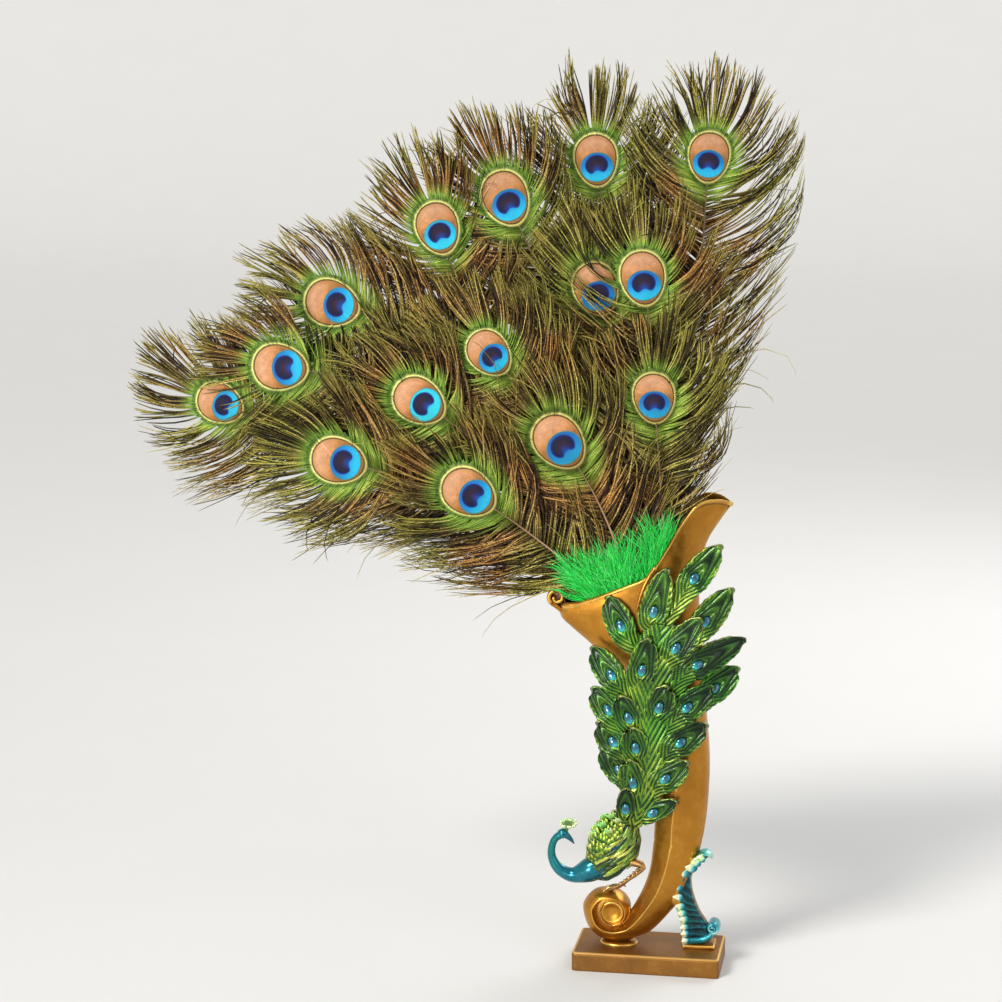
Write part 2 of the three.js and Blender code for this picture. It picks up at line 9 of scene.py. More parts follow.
import bpy
import numpy as np
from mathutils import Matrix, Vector


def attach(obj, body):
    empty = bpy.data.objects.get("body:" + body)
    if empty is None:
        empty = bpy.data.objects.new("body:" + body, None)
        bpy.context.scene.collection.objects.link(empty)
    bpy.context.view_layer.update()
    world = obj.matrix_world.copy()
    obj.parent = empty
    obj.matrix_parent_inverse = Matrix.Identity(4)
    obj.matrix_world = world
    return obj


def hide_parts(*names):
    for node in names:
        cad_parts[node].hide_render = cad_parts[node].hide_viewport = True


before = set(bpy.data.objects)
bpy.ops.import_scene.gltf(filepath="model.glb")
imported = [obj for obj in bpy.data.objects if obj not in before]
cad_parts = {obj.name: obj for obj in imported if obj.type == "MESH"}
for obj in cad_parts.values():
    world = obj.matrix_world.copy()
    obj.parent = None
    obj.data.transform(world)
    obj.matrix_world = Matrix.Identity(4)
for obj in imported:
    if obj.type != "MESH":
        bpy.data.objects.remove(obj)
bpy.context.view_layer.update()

MM = 0.001

# ---------------------------------------------------------------- driving sizes

PLINTH = {"length": 120, "depth": 64, "height": 15.6, "corner": 3.0, "edge": 1.6}

WALL = 3
RING_POWER = 2.3                        # of the horn's superellipse rings
# Rings of the horn from its mouth down: left and right edge (x, z), half depth, and how
# much of the rim's own outline each takes on.
HORN_LEVELS = [
    ((-75, 300), (63, 384), 28, 1),
    ((-75, 290), (52, 368), 28, 0.75),
    ((-66, 281), (43, 352), 28, 0.5),
    ((-53, 270), (38, 330), 27.5, 0.28),
    ((-38, 257), (37.5, 300), 26.5, 0.12),
    ((-21, 245.5), (39.5, 265), 25, 0.03),
    ((-7, 229), (42.5, 232), 23.5, 0),
    ((1, 207), (45.5, 203), 21.5, 0),
    ((4.5, 182), (47.5, 178), 19.5, 0),
    ((5, 155), (47.4, 152), 17.5, 0),
    ((4, 128), (45.6, 127), 15.5, 0),
    ((2.6, 99), (42, 102), 14, 0),
]
CAVITY_LEVELS = 7                       # the cavity runs through this many of them
# Front rim of the mouth, from its pointed lip on the right to its rolled end on the left.
FRONT_RIM = [
    (63, 0, 384), (52, -9, 387.5), (38, -17, 385), (25, -22, 369), (15.5, -25, 352),
    (6, -27, 336), (-4, -28, 325), (-17, -28, 319), (-31, -27, 313), (-45, -24, 307),
    (-59, -20.5, 302), (-70, -16, 299.8), (-75, 0, 300),
]
REAR_RIM_RISE = 5                       # the rear rim mirrors it, and stands higher by this
# A curl starts at an angle in degrees, turns through its sweep and loses a share of its radius.
CURL = {"x": -75.6, "z": 306, "radius": 6.5, "start": -128, "sweep": -415, "shrink": 0.64,
        "half_length": 17}
CURL_LEAD = [(-62, 0, 284.5), (-69, 0, 290.8), (-76, 0, 297.4), (-80.3, 0, 301.2)]
# The seam where the right-hand sheet of the horn laps over the left one.
SEAM_ROUTE = [
    (5, -26.6, 335), (0.5, -27.2, 328), (-3.4, -27.4, 320), (-6.6, -27, 311), (-9.4, -26.2, 301),
    (-12, -25, 291),
]
SEAM_RADII = [1.7, 2.1, 2.3, 2.2, 1.9, 1.2]

# Leg: left edge, right edge (x, z), half depth, and the ridge's share of the way across.
LEG_LEVELS = [
    ((3.2, 111), (43.3, 113), 14.5, 0.385),
    ((2.6, 101), (42, 104), 14, 0.396),
    ((0, 80), (36.5, 82), 13.5, 0.37),
    ((-5.3, 63.2), (28.4, 60), 13, 0.36),
    ((-12.3, 49.2), (15, 41.6), 12.5, 0.35),
    ((-17.6, 39.9), (1.4, 26.8), 12.1, 0.33),
]
VOLUTE = {"x": -30, "z": 43, "half_depth": 11.6}
# Angle in degrees, outer radius, inner radius, and the ridge's share between them.
VOLUTE_TURNS = [
    (-45, 30.2, 13.3, 0.28), (-57, 28.9, 13.2, 0.24), (-72, 27.8, 12.9, 0.22),
    (-90, 27, 12.7, 0.22), (-117, 25.9, 12.7, 0.25), (-146, 25.2, 12.6, 0.28),
    (-182, 25, 12.4, 0.30), (-203, 24, 11.6, 0.32), (-226, 22.3, 10.9, 0.34),
    (-249, 19.3, 10.2, 0.36), (-277, 17.1, 9.7, 0.38), (-307, 15.7, 9.3, 0.40),
    (-340, 14.9, 9, 0.40), (-375, 13.6, 8.8, 0.40), (-405, 12.3, 8.6, 0.40),
    (-450, 11.5, 8.3, 0.40), (-495, 11.1, 8.1, 0.40), (-540, 10.8, 8, 0.40),
    (-585, 10.3, 8, 0.40),
]
# Discs of the volute, as radius and depth: its dished eye, and the web between its turns.
VOLUTE_DISH = [(9.4, 8), (9.4, -8.4), (8.0, -8.6), (6.6, -7.8), (5.0, -7.0), (3.2, -6.5), (1.2, -6.3)]
VOLUTE_WEB = [(13.6, 7.4), (14.4, 6), (14.4, -5.4), (12, -6.4), (8, -6.2)]
FOOT_LIP = {"x": -25, "half_length": 15.5, "half_depth": 11.6}
LIP_PROFILE = [(1, 15.2), (1.0, 16.2), (0.97, 16.9), (0.88, 17.3), (0.6, 17.4)]
LEAF_TIPS = [(24, 50), (22.5, 59), (22.5, 68), (26, 76)]

BRACKET_Y = 2
BRACKET_HALF_DEPTH = 9
# Left and right edge (x, z) of the acanthus leaf from its curled top to its foot.
BRACKET_EDGES = [
    ((44, 95.2), (47.5, 92)), ((37.5, 91.5), (42.5, 88.8)), ((32.5, 84.5), (39, 85)),
    ((26, 78.8), (35.8, 80.5)), ((21.6, 73.5), (34, 74)), ((20.8, 63.5), (34.6, 64)),
    ((22.7, 53.5), (37.3, 54.3)), ((25, 45.7), (39.6, 48.6)), ((27.3, 39.9), (42, 43.8)),
    ((28.1, 32), (46, 38)), ((28.7, 26), (49, 32)), ((29.2, 18.2), (51, 22)),
]
BRACKET_LOBES = 13
BRACKET_POWER = 2.8
BRACKET_VOLUTE = {"x": 52.2, "z": 33.2, "radius": 4.6, "start": -118, "sweep": 590, "shrink": 0.74}
BRACKET_TIP = [(37, 1, 88), (41, 1, 93), (45.5, 1, 95), (49.5, 1, 93.2), (51, 1, 90)]
BRACKET_TIP_RADII = [2.6, 3.0, 2.6, 1.9, 0.5]
BRACKET_BAND = [(29, 2, 22.6), (36, 2, 22.2), (44, 2, 23), (49.5, 2, 26), (52, 2, 29)]
BRACKET_SOLE = [(28.2, 2, 17.4), (41, 2, 17.2), (54, 2, 17.8)]

BIRD_BODY = {"x": -30, "y": -7, "z": 98, "half_length": 31, "half_width": 20, "half_depth": 14,
             "lean": 24}
# Section of the body: radius and height, as shares of its half sizes.
BODY_EGG = [
    (0, -1), (0.42, -0.88), (0.74, -0.6), (0.95, -0.2), (1, 0.12), (0.84, 0.5), (0.5, 0.82), (0, 1),
]
NECK_ROUTE = [
    (-36, -7, 86), (-47.5, -7.5, 78.8), (-60.7, -8, 73.6), (-69.5, -8.5, 75.5),
    (-75.8, -9, 80.5), (-79.5, -9, 88), (-79.8, -9, 96), (-77, -9, 103.5), (-71, -9, 107.8),
    (-66.6, -9, 106.6),
]
NECK_RADII = [8, 10.2, 6.6, 5.2, 4.3, 3.5, 3.1, 3, 3.5, 2.7]
HEAD_ROUTE = [(-75.5, -9, 104.6), (-73, -9, 107.2), (-70, -9, 108.2), (-66.6, -9, 106.6)]
HEAD_RADII = [0.6, 3.5, 4.3, 2.2]
BEAK_ROUTE = [(-67.4, -9, 106.8), (-65, -9, 104.6), (-63, -9, 102.4), (-61.2, -9, 100)]
BEAK_RADII = [2.8, 2.1, 1.3, 0.3]
EYE_BALL_RADII = (1.3, 1.3, 1.2, 1.0, 0.7, 0.2)
SCALED_TURNS = (92, 268)                # the side of the body that wears scales, in degrees
CREST_CENTRE = (-66.2, -9, 116.2)
CREST_FLORETS = 9
BACK_CURLS = [
    (-41.8, -15, 118.5), (-37, -19, 120.5), (-30, -18, 128), (-24.5, -20, 125.5),
    (-45.5, -14, 111.5), (-31.5, -22, 116), (-36.5, -12, 125.5),
]
BIRD_LEG_ROUTES = [
    [(-14, -11, 88), (-4.4, -14, 83.6), (-27, -10, 65.5), (-37, -8.6, 63)],
    [(-15, -4, 86), (-6.5, -2, 82), (-24, -3, 64.5), (-33, -2.6, 63)],
]
LEG_RADII = [3.6, 1.9, 1.5, 1.5]
TOES = [(-10, -3.2, -3.4), (-11.5, 0.4, -2.8), (-9, 3.6, -3.6), (4.6, 0.6, -0.6)]

TAIL_STEM = [
    (-11, -15, 121), (-4, -22, 143), (0, -25.5, 176), (1, -27.5, 205), (2.4, -30, 234),
    (5.3, -32.5, 263), (12, -34.5, 292),
]
STEM_LOW = 121
STEM_HIGH = 292
# Stone and tip (x, z) of each cast plume, from the lowest to the highest.
TAIL_PLUMES = [
    ((4.2, 132.9), (24.5, 144.7)), ((-17.6, 135.9), (-15.8, 156.8)),
    ((-11.4, 158.7), (-15.2, 180)), ((-22.3, 168.2), (-38.2, 187.3)),
    ((14.4, 163.2), (32.9, 178.1)), ((-9.2, 188.5), (-12.2, 206.8)),
    ((-27.3, 191.3), (-40.7, 207.1)), ((26.1, 193.4), (46.9, 208.2)),
    ((-14.8, 213.1), (-22.6, 231.9)), ((-31.5, 217.4), (-44.9, 235)),
    ((9.7, 223), (17, 243)), ((31.3, 222.6), (52, 239.7)),
    ((51.8, 236.9), (70.2, 252.9)), ((-28.9, 247), (-45.6, 268.2)),
    ((-4, 253.5), (2.5, 282)), ((38.8, 257.9), (75.1, 277.2)),
    ((22.8, 272.5), (43.3, 298.1)), ((-21.2, 287.8), (-33, 310.9)),
    ((45.1, 293.3), (65.7, 319.7)), ((5.1, 301.7), (15.4, 337.7)),
    ((36.3, 328.6), (56.7, 355.1)),
]
PLUME_THICKNESS = 2.4
PLUME_WIDTH = 24.5
SLIM_PLUMES = 2                         # the lowest ones are slimmer
SLIM_SHARE = 0.66
PLUME_NECK = 9                          # how far below its stone a plume starts to swell
PLUME_FOOT_DROP = 16                    # how far below its stone it leaves the stem
TAIL_FRONT = 12                         # half width of the tail's middle, before it falls back
STONE = {"half_length": 4.6, "half_width": 3.3, "rise": 2, "gap": 0.35}

# Natural feathers from front to back: where each crosses the mouth, its lean there, its
# eye (x, z), the shaft's lean at the eye (degrees from upright), and the quill's depth.
FEATHERS = [
    ((-40.3, 313.6), -50, (-144.7, 391.3), -59, 66),
    ((-16.6, 318), -18, (-72.7, 433.1), -39.5, 66),
    ((11, 334.7), -3, (1.9, 469.3), -5, 84),
    ((-41.3, 316.2), -56, (-252.3, 413.1), -78, 76),
    ((-37.6, 311.7), -38, (-187.1, 462.1), -59, 72),
    ((-25.8, 315.7), -20, (-131.3, 501), -43, 66),
    ((-34.3, 319), -42, (-303.5, 486.1), -86, 80),
    ((-42.6, 314.2), -62, (-356.1, 454.8), -68, 78),
    ((1.4, 327.4), 3, (-10.8, 560.9), -10, 76),
    ((-11, 322.4), -1, (-48.8, 551.3), -20, 74),
    ((-27.4, 317.3), -30, (-266.2, 536.1), -76, 76),
    ((-19.6, 317.1), -36, (-179.4, 597.3), -21, 76),
    ((-19.9, 314.1), -11, (-125, 621.4), -27.6, 62),
    ((8.1, 325.2), 7, (36.9, 654.7), 2.6, 72),
    ((-12.4, 324.1), -5, (-54.2, 651.6), -9, 72),
]
# How pale each eye's blue is, from 0 deep to 1 bright cyan, front to back.
EYE_TONES = [0.45, 0.2, 0.25, 0.5, 1.0, 0.6, 0.55, 0.7, 0.45, 0.1, 0.6, 0.75, 0.55, 0.4, 0.5]
# How large each eye is beside the plain size above, front to back.
EYE_SIZES = [1.03, 1.06, 0.9, 1.02, 1, 0.9, 1.03, 0.9, 0.98, 0.97, 1.04, 0.97, 1.03, 0.9, 0.95]
LAYER_DEPTH = 17.5                      # half the depth of the bunch at its mouth
LAYER_SPREAD = 0.09                     # and what each mm away from SPREAD_START (x, z) adds
SPREAD_START = (-40, 330)
SHAFT_HANDLE = 0.36                     # Bezier handles, as a share of the straight distance

EYE_HALF_LENGTH = 23                    # of the outer cream ring
EYE_HALF_WIDTH = 18.8
EYE_TAPER = 0.006                       # how much wider per mm towards the tip
PLATE_REACH = 1.16                      # edge of the merged eye plate, in ring radii
MAP_UNIT = 0.01                         # what a millimetre is in the maps that the barbs carry

# Green tufts: root and tip (x, z), and whether they stand in front (-1) or at the back (1).
GREEN_PLUMES = [
    ((-25, 289), (-70, 340), -1), ((-18, 284), (-45, 348), -1), ((-8, 284), (-26, 352), -1),
    ((4, 288), (2, 366), -1), ((-24, 284), (-56, 340), 1), ((-8, 284), (-12, 360), 1),
    ((2, 288), (6, 370), 1),
]
GREEN_LAYER = 1.115                     # their depth, in half depths of the bunch
GREEN_SPREAD = [0, 0, 4, 11, 0, 4, 13]  # how far each tuft's strands stand to its right

# ---------------------------------------------------------------- number helpers


def smoothstep(low, high, value):
    """0 at low and before it, 1 at high and past it, with a soft rise between."""
    share = np.clip((np.asarray(value, float) - low) / (high - low), 0, 1)
    return share * share * (3 - 2 * share)


def spline_at(points, places):
    """Catmull-Rom curve through points, at places from 0 (first) to 1 (last)."""
    p = np.asarray(points, float)
    if p.ndim == 1:
        p = p[:, None]
    padded = np.vstack([2 * p[0] - p[1], p, 2 * p[-1] - p[-2]])
    along = np.clip(places, 0, 1) * (len(p) - 1)
    k = np.minimum(along.astype(int), len(p) - 2)
    f = (along - k)[:, None]
    a, b, c, d = padded[k], padded[k + 1], padded[k + 2], padded[k + 3]
    curve = 2 * b + (c - a) * f + (2 * a - 5 * b + 4 * c - d) * f**2
    return 0.5 * (curve + (3 * b - 3 * c + d - a) * f**3)


def spline(points, steps):
    """Evenly spaced places on the curve through points."""
    return spline_at(points, np.linspace(0, 1, steps))


def unit(v):
    """Vectors cut to length 1."""
    return v / np.maximum(np.linalg.norm(v, axis=-1, keepdims=True), 1e-9)


def sharpen(value, power):
    """Cosine or sine of a circle, squared off to that of a superellipse."""
    return np.sign(value) * np.abs(value) ** (2 / power)


def full_turn(columns):
    """Angles of points set evenly round a circle."""
    return np.linspace(0, 2 * np.pi, columns, endpoint=False)


def window(edges, value):
    """1 between the two middle edges and 0 outside the outer two."""
    return smoothstep(edges[0], edges[1], value) * smoothstep(edges[3], edges[2], value)


def soft_limit(value, start, room):
    """Value that bends once it passes start and never passes start + room."""
    return np.where(value > start, start + room * np.tanh((value - start) / room), value)


def lean_vector(degrees):
    """Unit vector (x, z) at an angle from upright, to the right."""
    return np.array([math.sin(math.radians(degrees)), math.cos(math.radians(degrees))])


# ---------------------------------------------------------------- mesh helpers


def grid_faces(rows, columns):
    """Quads of a grid of points whose last column joins the first."""
    r, c = np.meshgrid(np.arange(rows - 1), np.arange(columns), indexing="ij")
    a = r * columns + c
    b = r * columns + (c + 1) % columns
    return np.stack([a, b, b + columns, a + columns], -1).reshape(-1, 4)


def pair(first, second, like):
    """Map of two numbers for each point of like, where either may be the same for many."""
    shape = np.shape(like)
    return np.stack([np.broadcast_to(first, shape), np.broadcast_to(second, shape)], -1)


def level_map(rings, values):
    """Map for rings whose first number is given once, by row or by point; its second is 0."""
    full = np.zeros((*rings.shape[:2], 2))
    values = np.asarray(values, float)
    full[..., 0] = values[:, None] if values.ndim == 1 else values
    return full


def refine(rings, pieces):
    """Rings with each side cut into pieces."""
    rings = np.asarray(rings, float)
    following = np.roll(rings, -1, axis=1)
    shares = np.linspace(0, 1, pieces, endpoint=False)
    stacked = [rings + (following - rings) * s for s in shares]
    return np.stack(stacked, 2).reshape(len(rings), -1, 3)


class Shells:
    """Closed shells of one piece: points in mm, faces, and named maps of two numbers a point."""

    def __init__(self):
        self.points = []
        self.faces = []
        self.finishes = []
        self.maps = {}
        self.count = 0

    def add(self, points, faces, finish=0, **maps):
        """Add a shell, right way out; faces holds index arrays of three or four corners a row."""
        points = np.asarray(points, float).reshape(-1, 3)
        centre = points.mean(0)
        volume = 0.0
        for corners in faces:
            p = points[corners] - centre
            for k in range(1, corners.shape[1] - 1):
                volume += np.einsum("ij,ij->", p[:, 0], np.cross(p[:, k], p[:, k + 1]))
        for corners in faces:
            self.faces.append((corners[:, ::-1] if volume < 0 else corners) + self.count)
            self.finishes.append(np.full(len(corners), finish))
        for name in set(maps) | set(self.maps):
            values = np.asarray(maps.get(name, np.zeros((len(points), 2))), float).reshape(-1, 2)
            held = self.maps.setdefault(name, [np.zeros((self.count, 2))] if self.count else [])
            held.append(values)
        self.points.append(points)
        self.count += len(points)

    def loft(self, rings, finish=0, **maps):
        """Skin over rings (row, column, xyz), each end closed by a fan."""
        rings = np.asarray(rings, float)
        rows, columns = rings.shape[:2]
        ends = np.stack([rings[0].mean(0), rings[-1].mean(0)])
        points = np.vstack([rings.reshape(-1, 3), ends])
        j = np.arange(columns)
        following = (j + 1) % columns
        first = np.stack([np.full(columns, rows * columns), following, j], -1)
        last_row = (rows - 1) * columns
        last = np.stack([np.full(columns, rows * columns + 1), last_row + j, last_row + following], -1)
        full = {}
        for name, values in maps.items():
            values = np.asarray(values, float).reshape(rows, columns, 2)
            tails = np.stack([values[0].mean(0), values[-1].mean(0)])
            full[name] = np.vstack([values.reshape(-1, 2), tails])
        self.add(points, [grid_faces(rows, columns), first, last], finish, **full)

    def glaze(self, rings, heights, finish=0):
        """Skin over rings that also maps the height of their relief."""
        self.loft(rings, finish, relief=level_map(rings, heights))

    def make(self, name, materials, nodes):
        """The piece itself, in metres and the nodes that it replaces."""
        mesh = bpy.data.meshes.new(name)
        points = np.concatenate(self.points) * MM
        corners = np.concatenate([f.ravel() for f in self.faces])
        sizes = np.concatenate([np.full(len(f), f.shape[1]) for f in self.faces])
        starts = np.concatenate([[0], np.cumsum(sizes)[:-1]])
        mesh.vertices.add(len(points))
        mesh.vertices.foreach_set("co", points.astype(np.float32).ravel())
        mesh.loops.add(len(corners))
        mesh.loops.foreach_set("vertex_index", corners.astype(np.int32))
        mesh.polygons.add(len(sizes))
        mesh.polygons.foreach_set("loop_start", starts.astype(np.int32))
        mesh.polygons.foreach_set("material_index", np.concatenate(self.finishes).astype(np.int32))
        mesh.polygons.foreach_set("use_smooth", np.full(len(sizes), True))
        for map_name, values in self.maps.items():
            layer = mesh.uv_layers.new(name=map_name)
            flat = np.concatenate(values)[corners]
            layer.data.foreach_set("uv", flat.astype(np.float32).ravel())
        mesh.update(calc_edges=True)
        mesh.validate()
        piece = bpy.data.objects.new(name, mesh)
        bpy.context.scene.collection.objects.link(piece)
        for material in materials:
            mesh.materials.append(material)
        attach(piece, "root")
        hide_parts(*nodes)


def sweep_frames(path, depth_axis):
    """Along, side and depth axes at each point of a path."""
    along = unit(np.gradient(path, axis=0))
    depth = np.broadcast_to(np.asarray(depth_axis, float), path.shape)
    depth = unit(depth - along * np.sum(along * depth, -1, keepdims=True))
    side = np.cross(along, depth)
    return along, side, depth


def sweep(path, half_width, half_depth, columns, power=2.0, depth_axis=(0, 1, 0)):
    """Rings of a superellipse section along a path."""
    path = np.asarray(path, float)
    _, side, depth = sweep_frames(path, depth_axis)
    angle = full_turn(columns)
    a = sharpen(np.cos(angle), power)[None, :, None]
    b = sharpen(np.sin(angle), power)[None, :, None]
    wide = np.broadcast_to(half_width, len(path))[:, None, None]
    deep = np.broadcast_to(half_depth, len(path))[:, None, None]
    return path[:, None] + side[:, None] * a * wide + depth[:, None] * b * deep


def tube(points, radii, steps, columns):
    """Rings of a round tube through points, with a radius given at each of them."""
    places = np.linspace(0, 1, steps)
    radius = spline_at(radii, places)[:, 0]
    return sweep(spline_at(points, places), radius, radius, columns)


def ridge_bead(crest, fade):
    """Rings of the fine bead along a crease, thinner where it fades."""
    radius = 0.05 + 0.6 * fade
    return sweep(crest, radius, radius, 10)


def around(centre, radius, angle, y=0.0):
    """Points at angles round a centre (a record with x and z), in the plane at depth y."""
    x = centre["x"] + radius * np.cos(angle)
    z = centre["z"] + radius * np.sin(angle)
    return np.stack([x, np.full(len(angle), float(y)), z], -1)


def curl(centre, turn, power=1.0, y=0.0):
    """Path of a curl that tightens as turn goes from 0 to 1."""
    angle = np.radians(centre["start"] + centre["sweep"] * turn)
    radius = centre["radius"] * (1 - centre["shrink"] * turn**power)
    return around(centre, radius, angle, y)


def rings_across(left, right, across, y):
    """Rings between two outline points (x, z) a row; across runs from -1 to 1."""
    middle, half = (left + right) / 2, (right - left) / 2
    return np.stack([middle[:, :1] + half[:, :1] * across, y,
                     middle[:, 1:] + half[:, 1:] * across], -1)


def leaf(base, along, out, length, width, thickness, lift, rows, columns, blunt):
    """Rings of a leaf-shaped shell: lift raises its tip along out, and a lower blunt puts its
    widest place nearer to the base."""
    base, along, out = (np.asarray(v, float) for v in (base, along, out))
    along = unit(along)
    out = unit(out - along * np.dot(out, along))
    across = np.cross(along, out)
    s = np.linspace(0.02, 1, rows)
    half = width / 2 * np.sin(np.pi * np.clip(s, 0, 0.97) ** blunt) ** 0.75
    centre = base + np.outer(s * length, along) + np.outer(lift * s**2, out)
    angle = full_turn(columns)
    a = np.cos(angle)[None, :, None]
    b = np.sin(angle)[None, :, None]
    thick = thickness / 2 * (0.35 + 0.65 * np.sin(np.pi * s**0.9))
    return centre[:, None] + across * a * half[:, None, None] + out * b * thick[:, None, None]


# ---------------------------------------------------------------- material helpers


class Look:
    """A material's node tree, written as expressions."""

    def __init__(self, name):
        self.material = bpy.data.materials.new(name)
        self.material.use_nodes = True
        self.tree = self.material.node_tree
        self.shader = self.tree.nodes["Principled BSDF"]

    def feed(self, socket, value):
        """Link a socket to another, or set its value; None leaves it alone."""
        if isinstance(value, bpy.types.NodeSocket):
            self.tree.links.new(value, socket)
        elif value is not None:
            socket.default_value = value

    def node(self, kind, *inputs, output=0, **settings):
        made = self.tree.nodes.new("ShaderNode" + kind)
        for key, value in settings.items():
            setattr(made, key, value)
        for socket, value in zip(made.inputs, inputs):
            self.feed(socket, value)
        return made.outputs[output]

    def math(self, operation, *values):
        return self.node("Math", *values, operation=operation)

    def times(self, a, b):
        return self.math("MULTIPLY", a, b)

    def plus(self, a, b):
        return self.math("ADD", a, b)

    def spread(self, value, low, high, to_low=0.0, to_high=1.0):
        """Value from low..high to to_low..to_high, held at both ends, with soft turns."""
        return self.node("MapRange", value, low, high, to_low, to_high,
                         interpolation_type="SMOOTHSTEP")

    def map(self, name):
        return self.node("UVMap", uv_map=name)

    def parts(self, vector):
        """The first two numbers of a vector."""
        outputs = self.node("SeparateXYZ", vector).node.outputs
        return outputs[0], outputs[1]

    def join(self, x, y, z=0.0):
        return self.node("CombineXYZ", x, y, z)

    def mix(self, factor, a, b, blend="MIX"):
        made = self.node("Mix", data_type="RGBA", blend_type=blend).node
        for place, value in ((0, factor), (6, a), (7, b)):
            self.feed(made.inputs[place], (*value, 1) if isinstance(value, tuple) else value)
        return made.outputs[2]

    def tint(self, factor, colour, by):
        """Colour multiplied by another colour, or by a plain number node."""
        if isinstance(by, bpy.types.NodeSocket):
            by = self.join(by, by, by)
        return self.mix(factor, colour, by, "MULTIPLY")

    def ramp(self, factor, stops):
        """Colours at places from 0 to 1, with straight blends between them."""
        made = self.node("ValToRGB", factor)
        ramp = made.node.color_ramp
        while len(ramp.elements) < len(stops):
            ramp.elements.new(0.5)
        for element, (place, colour) in zip(ramp.elements, stops):
            element.position = place
            element.color = (*colour, 1)
        return made

    def noise(self, vector, scale, detail=2.0, roughness=0.5):
        return self.node("TexNoise", vector, None, scale, detail, roughness)

    def place(self):
        """Position on the object, in metres."""
        return self.node("TexCoord", output="Object")

    def pointiness(self):
        return self.node("NewGeometry", output="Pointiness")

    def bump(self, height, strength, distance):
        normal = self.node("Bump", strength, distance, None, height)
        self.feed(self.shader.inputs["Normal"], normal)

    def finish(self, colour, roughness, **sockets):
        """The material, with these set on its shader's sockets."""
        self.feed(self.shader.inputs["Base Color"], colour)
        self.feed(self.shader.inputs["Roughness"], roughness)
        for name, value in sockets.items():
            label = name.replace("_", " ").title().replace("Ior", "IOR")
            self.feed(self.shader.inputs[label], value)
        return self.material


# ---------------------------------------------------------------- materials

# Colours are linear. A ramp's stops are places from 0 to 1, each with its colour.
# barb tones: the darkest stops are painted shade for the gaps between barbs, the brightest gold ones
# painted highlights
BARB_STOPS = [
    (0.12, (0.006, 0.004, 0.002)), (0.28, (0.030, 0.018, 0.007)), (0.43, (0.12, 0.075, 0.022)),
    (0.56, (0.26, 0.20, 0.045)), (0.70, (0.52, 0.40, 0.12)), (0.86, (0.92, 0.76, 0.34)),
]
LIT_TIP_STOPS = [(0.25, (0.15, 0.13, 0.020)), (0.75, (0.62, 0.54, 0.11))]
HALO_STOPS = [
    (0.15, (0.020, 0.052, 0.006)), (0.42, (0.105, 0.205, 0.020)), (0.64, (0.26, 0.38, 0.050)),
    (0.88, (0.62, 0.64, 0.15)),
]
CREAM = (0.56, 0.55, 0.17)
CREAM_OUTER = (0.60, 0.66, 0.20)
UMBER = (0.060, 0.032, 0.012)
# Rings round the disc, from umber through cream to green, at half their radius.
EDGE_STOPS = [
    (0.440, (0.20, 0.085, 0.024)), (0.452, UMBER), (0.466, (0.11, 0.070, 0.018)),
    (0.476, CREAM), (0.492, CREAM_OUTER), (0.503, (0.33, 0.36, 0.09)),
    (0.522, (0.13, 0.18, 0.036)), (0.556, (0.10, 0.20, 0.028)), (0.595, (0.18, 0.34, 0.040)),
    (0.640, (0.23, 0.38, 0.055)),
]
DISC_STOPS = [
    (0.0, (0.13, 0.058, 0.018)), (0.35, (0.27, 0.115, 0.032)), (0.62, (0.48, 0.215, 0.080)),
    (1.0, (0.54, 0.290, 0.165)),
]
BLUE_STOPS = [
    (0.0, (0.005, 0.090, 0.26)), (0.35, (0.006, 0.15, 0.40)), (0.68, (0.008, 0.27, 0.52)),
    (1.0, (0.020, 0.46, 0.62)),
]
HEART_STOPS = [
    (0.0, (0.022, 0.007, 0.016)), (0.24, (0.011, 0.005, 0.020)), (0.42, (0.003, 0.004, 0.032)),
    (0.485, (0.003, 0.012, 0.13)), (0.54, (0.004, 0.060, 0.40)),
]
# Ovals of the eye: height of the centre, half width, half length and taper.
RING_OVAL = (0.0, EYE_HALF_WIDTH, EYE_HALF_LENGTH, EYE_TAPER)
BLUE_OVAL = (-5.9, 14.0, 12.2, 0.0)
HEART_OVAL = (-4.3, 9.6, 8.4, 0.0)
DENT_SHARPNESS = -0.080                 # of the notch in the heart's lower side
DENT_DEPTH = 0.68


def oval(look, u, v, sizes, wobble):
    """Distance in radii from the middle of an oval, made uneven by wobble."""
    centre, half_width, half_length, taper = sizes
    wide = look.math("MULTIPLY_ADD", v, taper * half_width, half_width)
    x = look.math("DIVIDE", u, wide)
    y = look.math("DIVIDE", look.math("SUBTRACT", v, centre), half_length)
    distance = look.math("SQRT", look.plus(look.times(x, x), look.times(y, y)))
    return look.plus(distance, wobble)


def loose_barb_colour(look, beads, chance, reach_share):
    """Barbs away from the eye: each has its own shade, beaded along its length. The darkest barbs
    are painted shade standing in for the gaps, and the brightest gold barbs and beads are painted
    highlights, over the barbs' own tones.
    """
    shade = look.plus(look.times(chance, 0.56), look.times(beads, 1.1))
    colour = look.ramp(look.math("SUBTRACT", shade, 0.41), BARB_STOPS)
    patches = look.noise(look.place(), 15.0, 2.0)
    copper = look.spread(patches, 0.44, 0.66)
    colour = look.tint(look.times(copper, 0.75), colour, (1.0, 0.56, 0.50))
    olive = look.spread(patches, 0.54, 0.34)
    colour = look.tint(look.times(olive, 0.55), colour, (0.62, 0.95, 0.26))
    tips = look.times(look.spread(reach_share, 0.68, 0.97), look.spread(chance, 0.0, 0.6))
    return look.mix(look.times(tips, 0.75), colour, look.ramp(beads, LIT_TIP_STOPS))


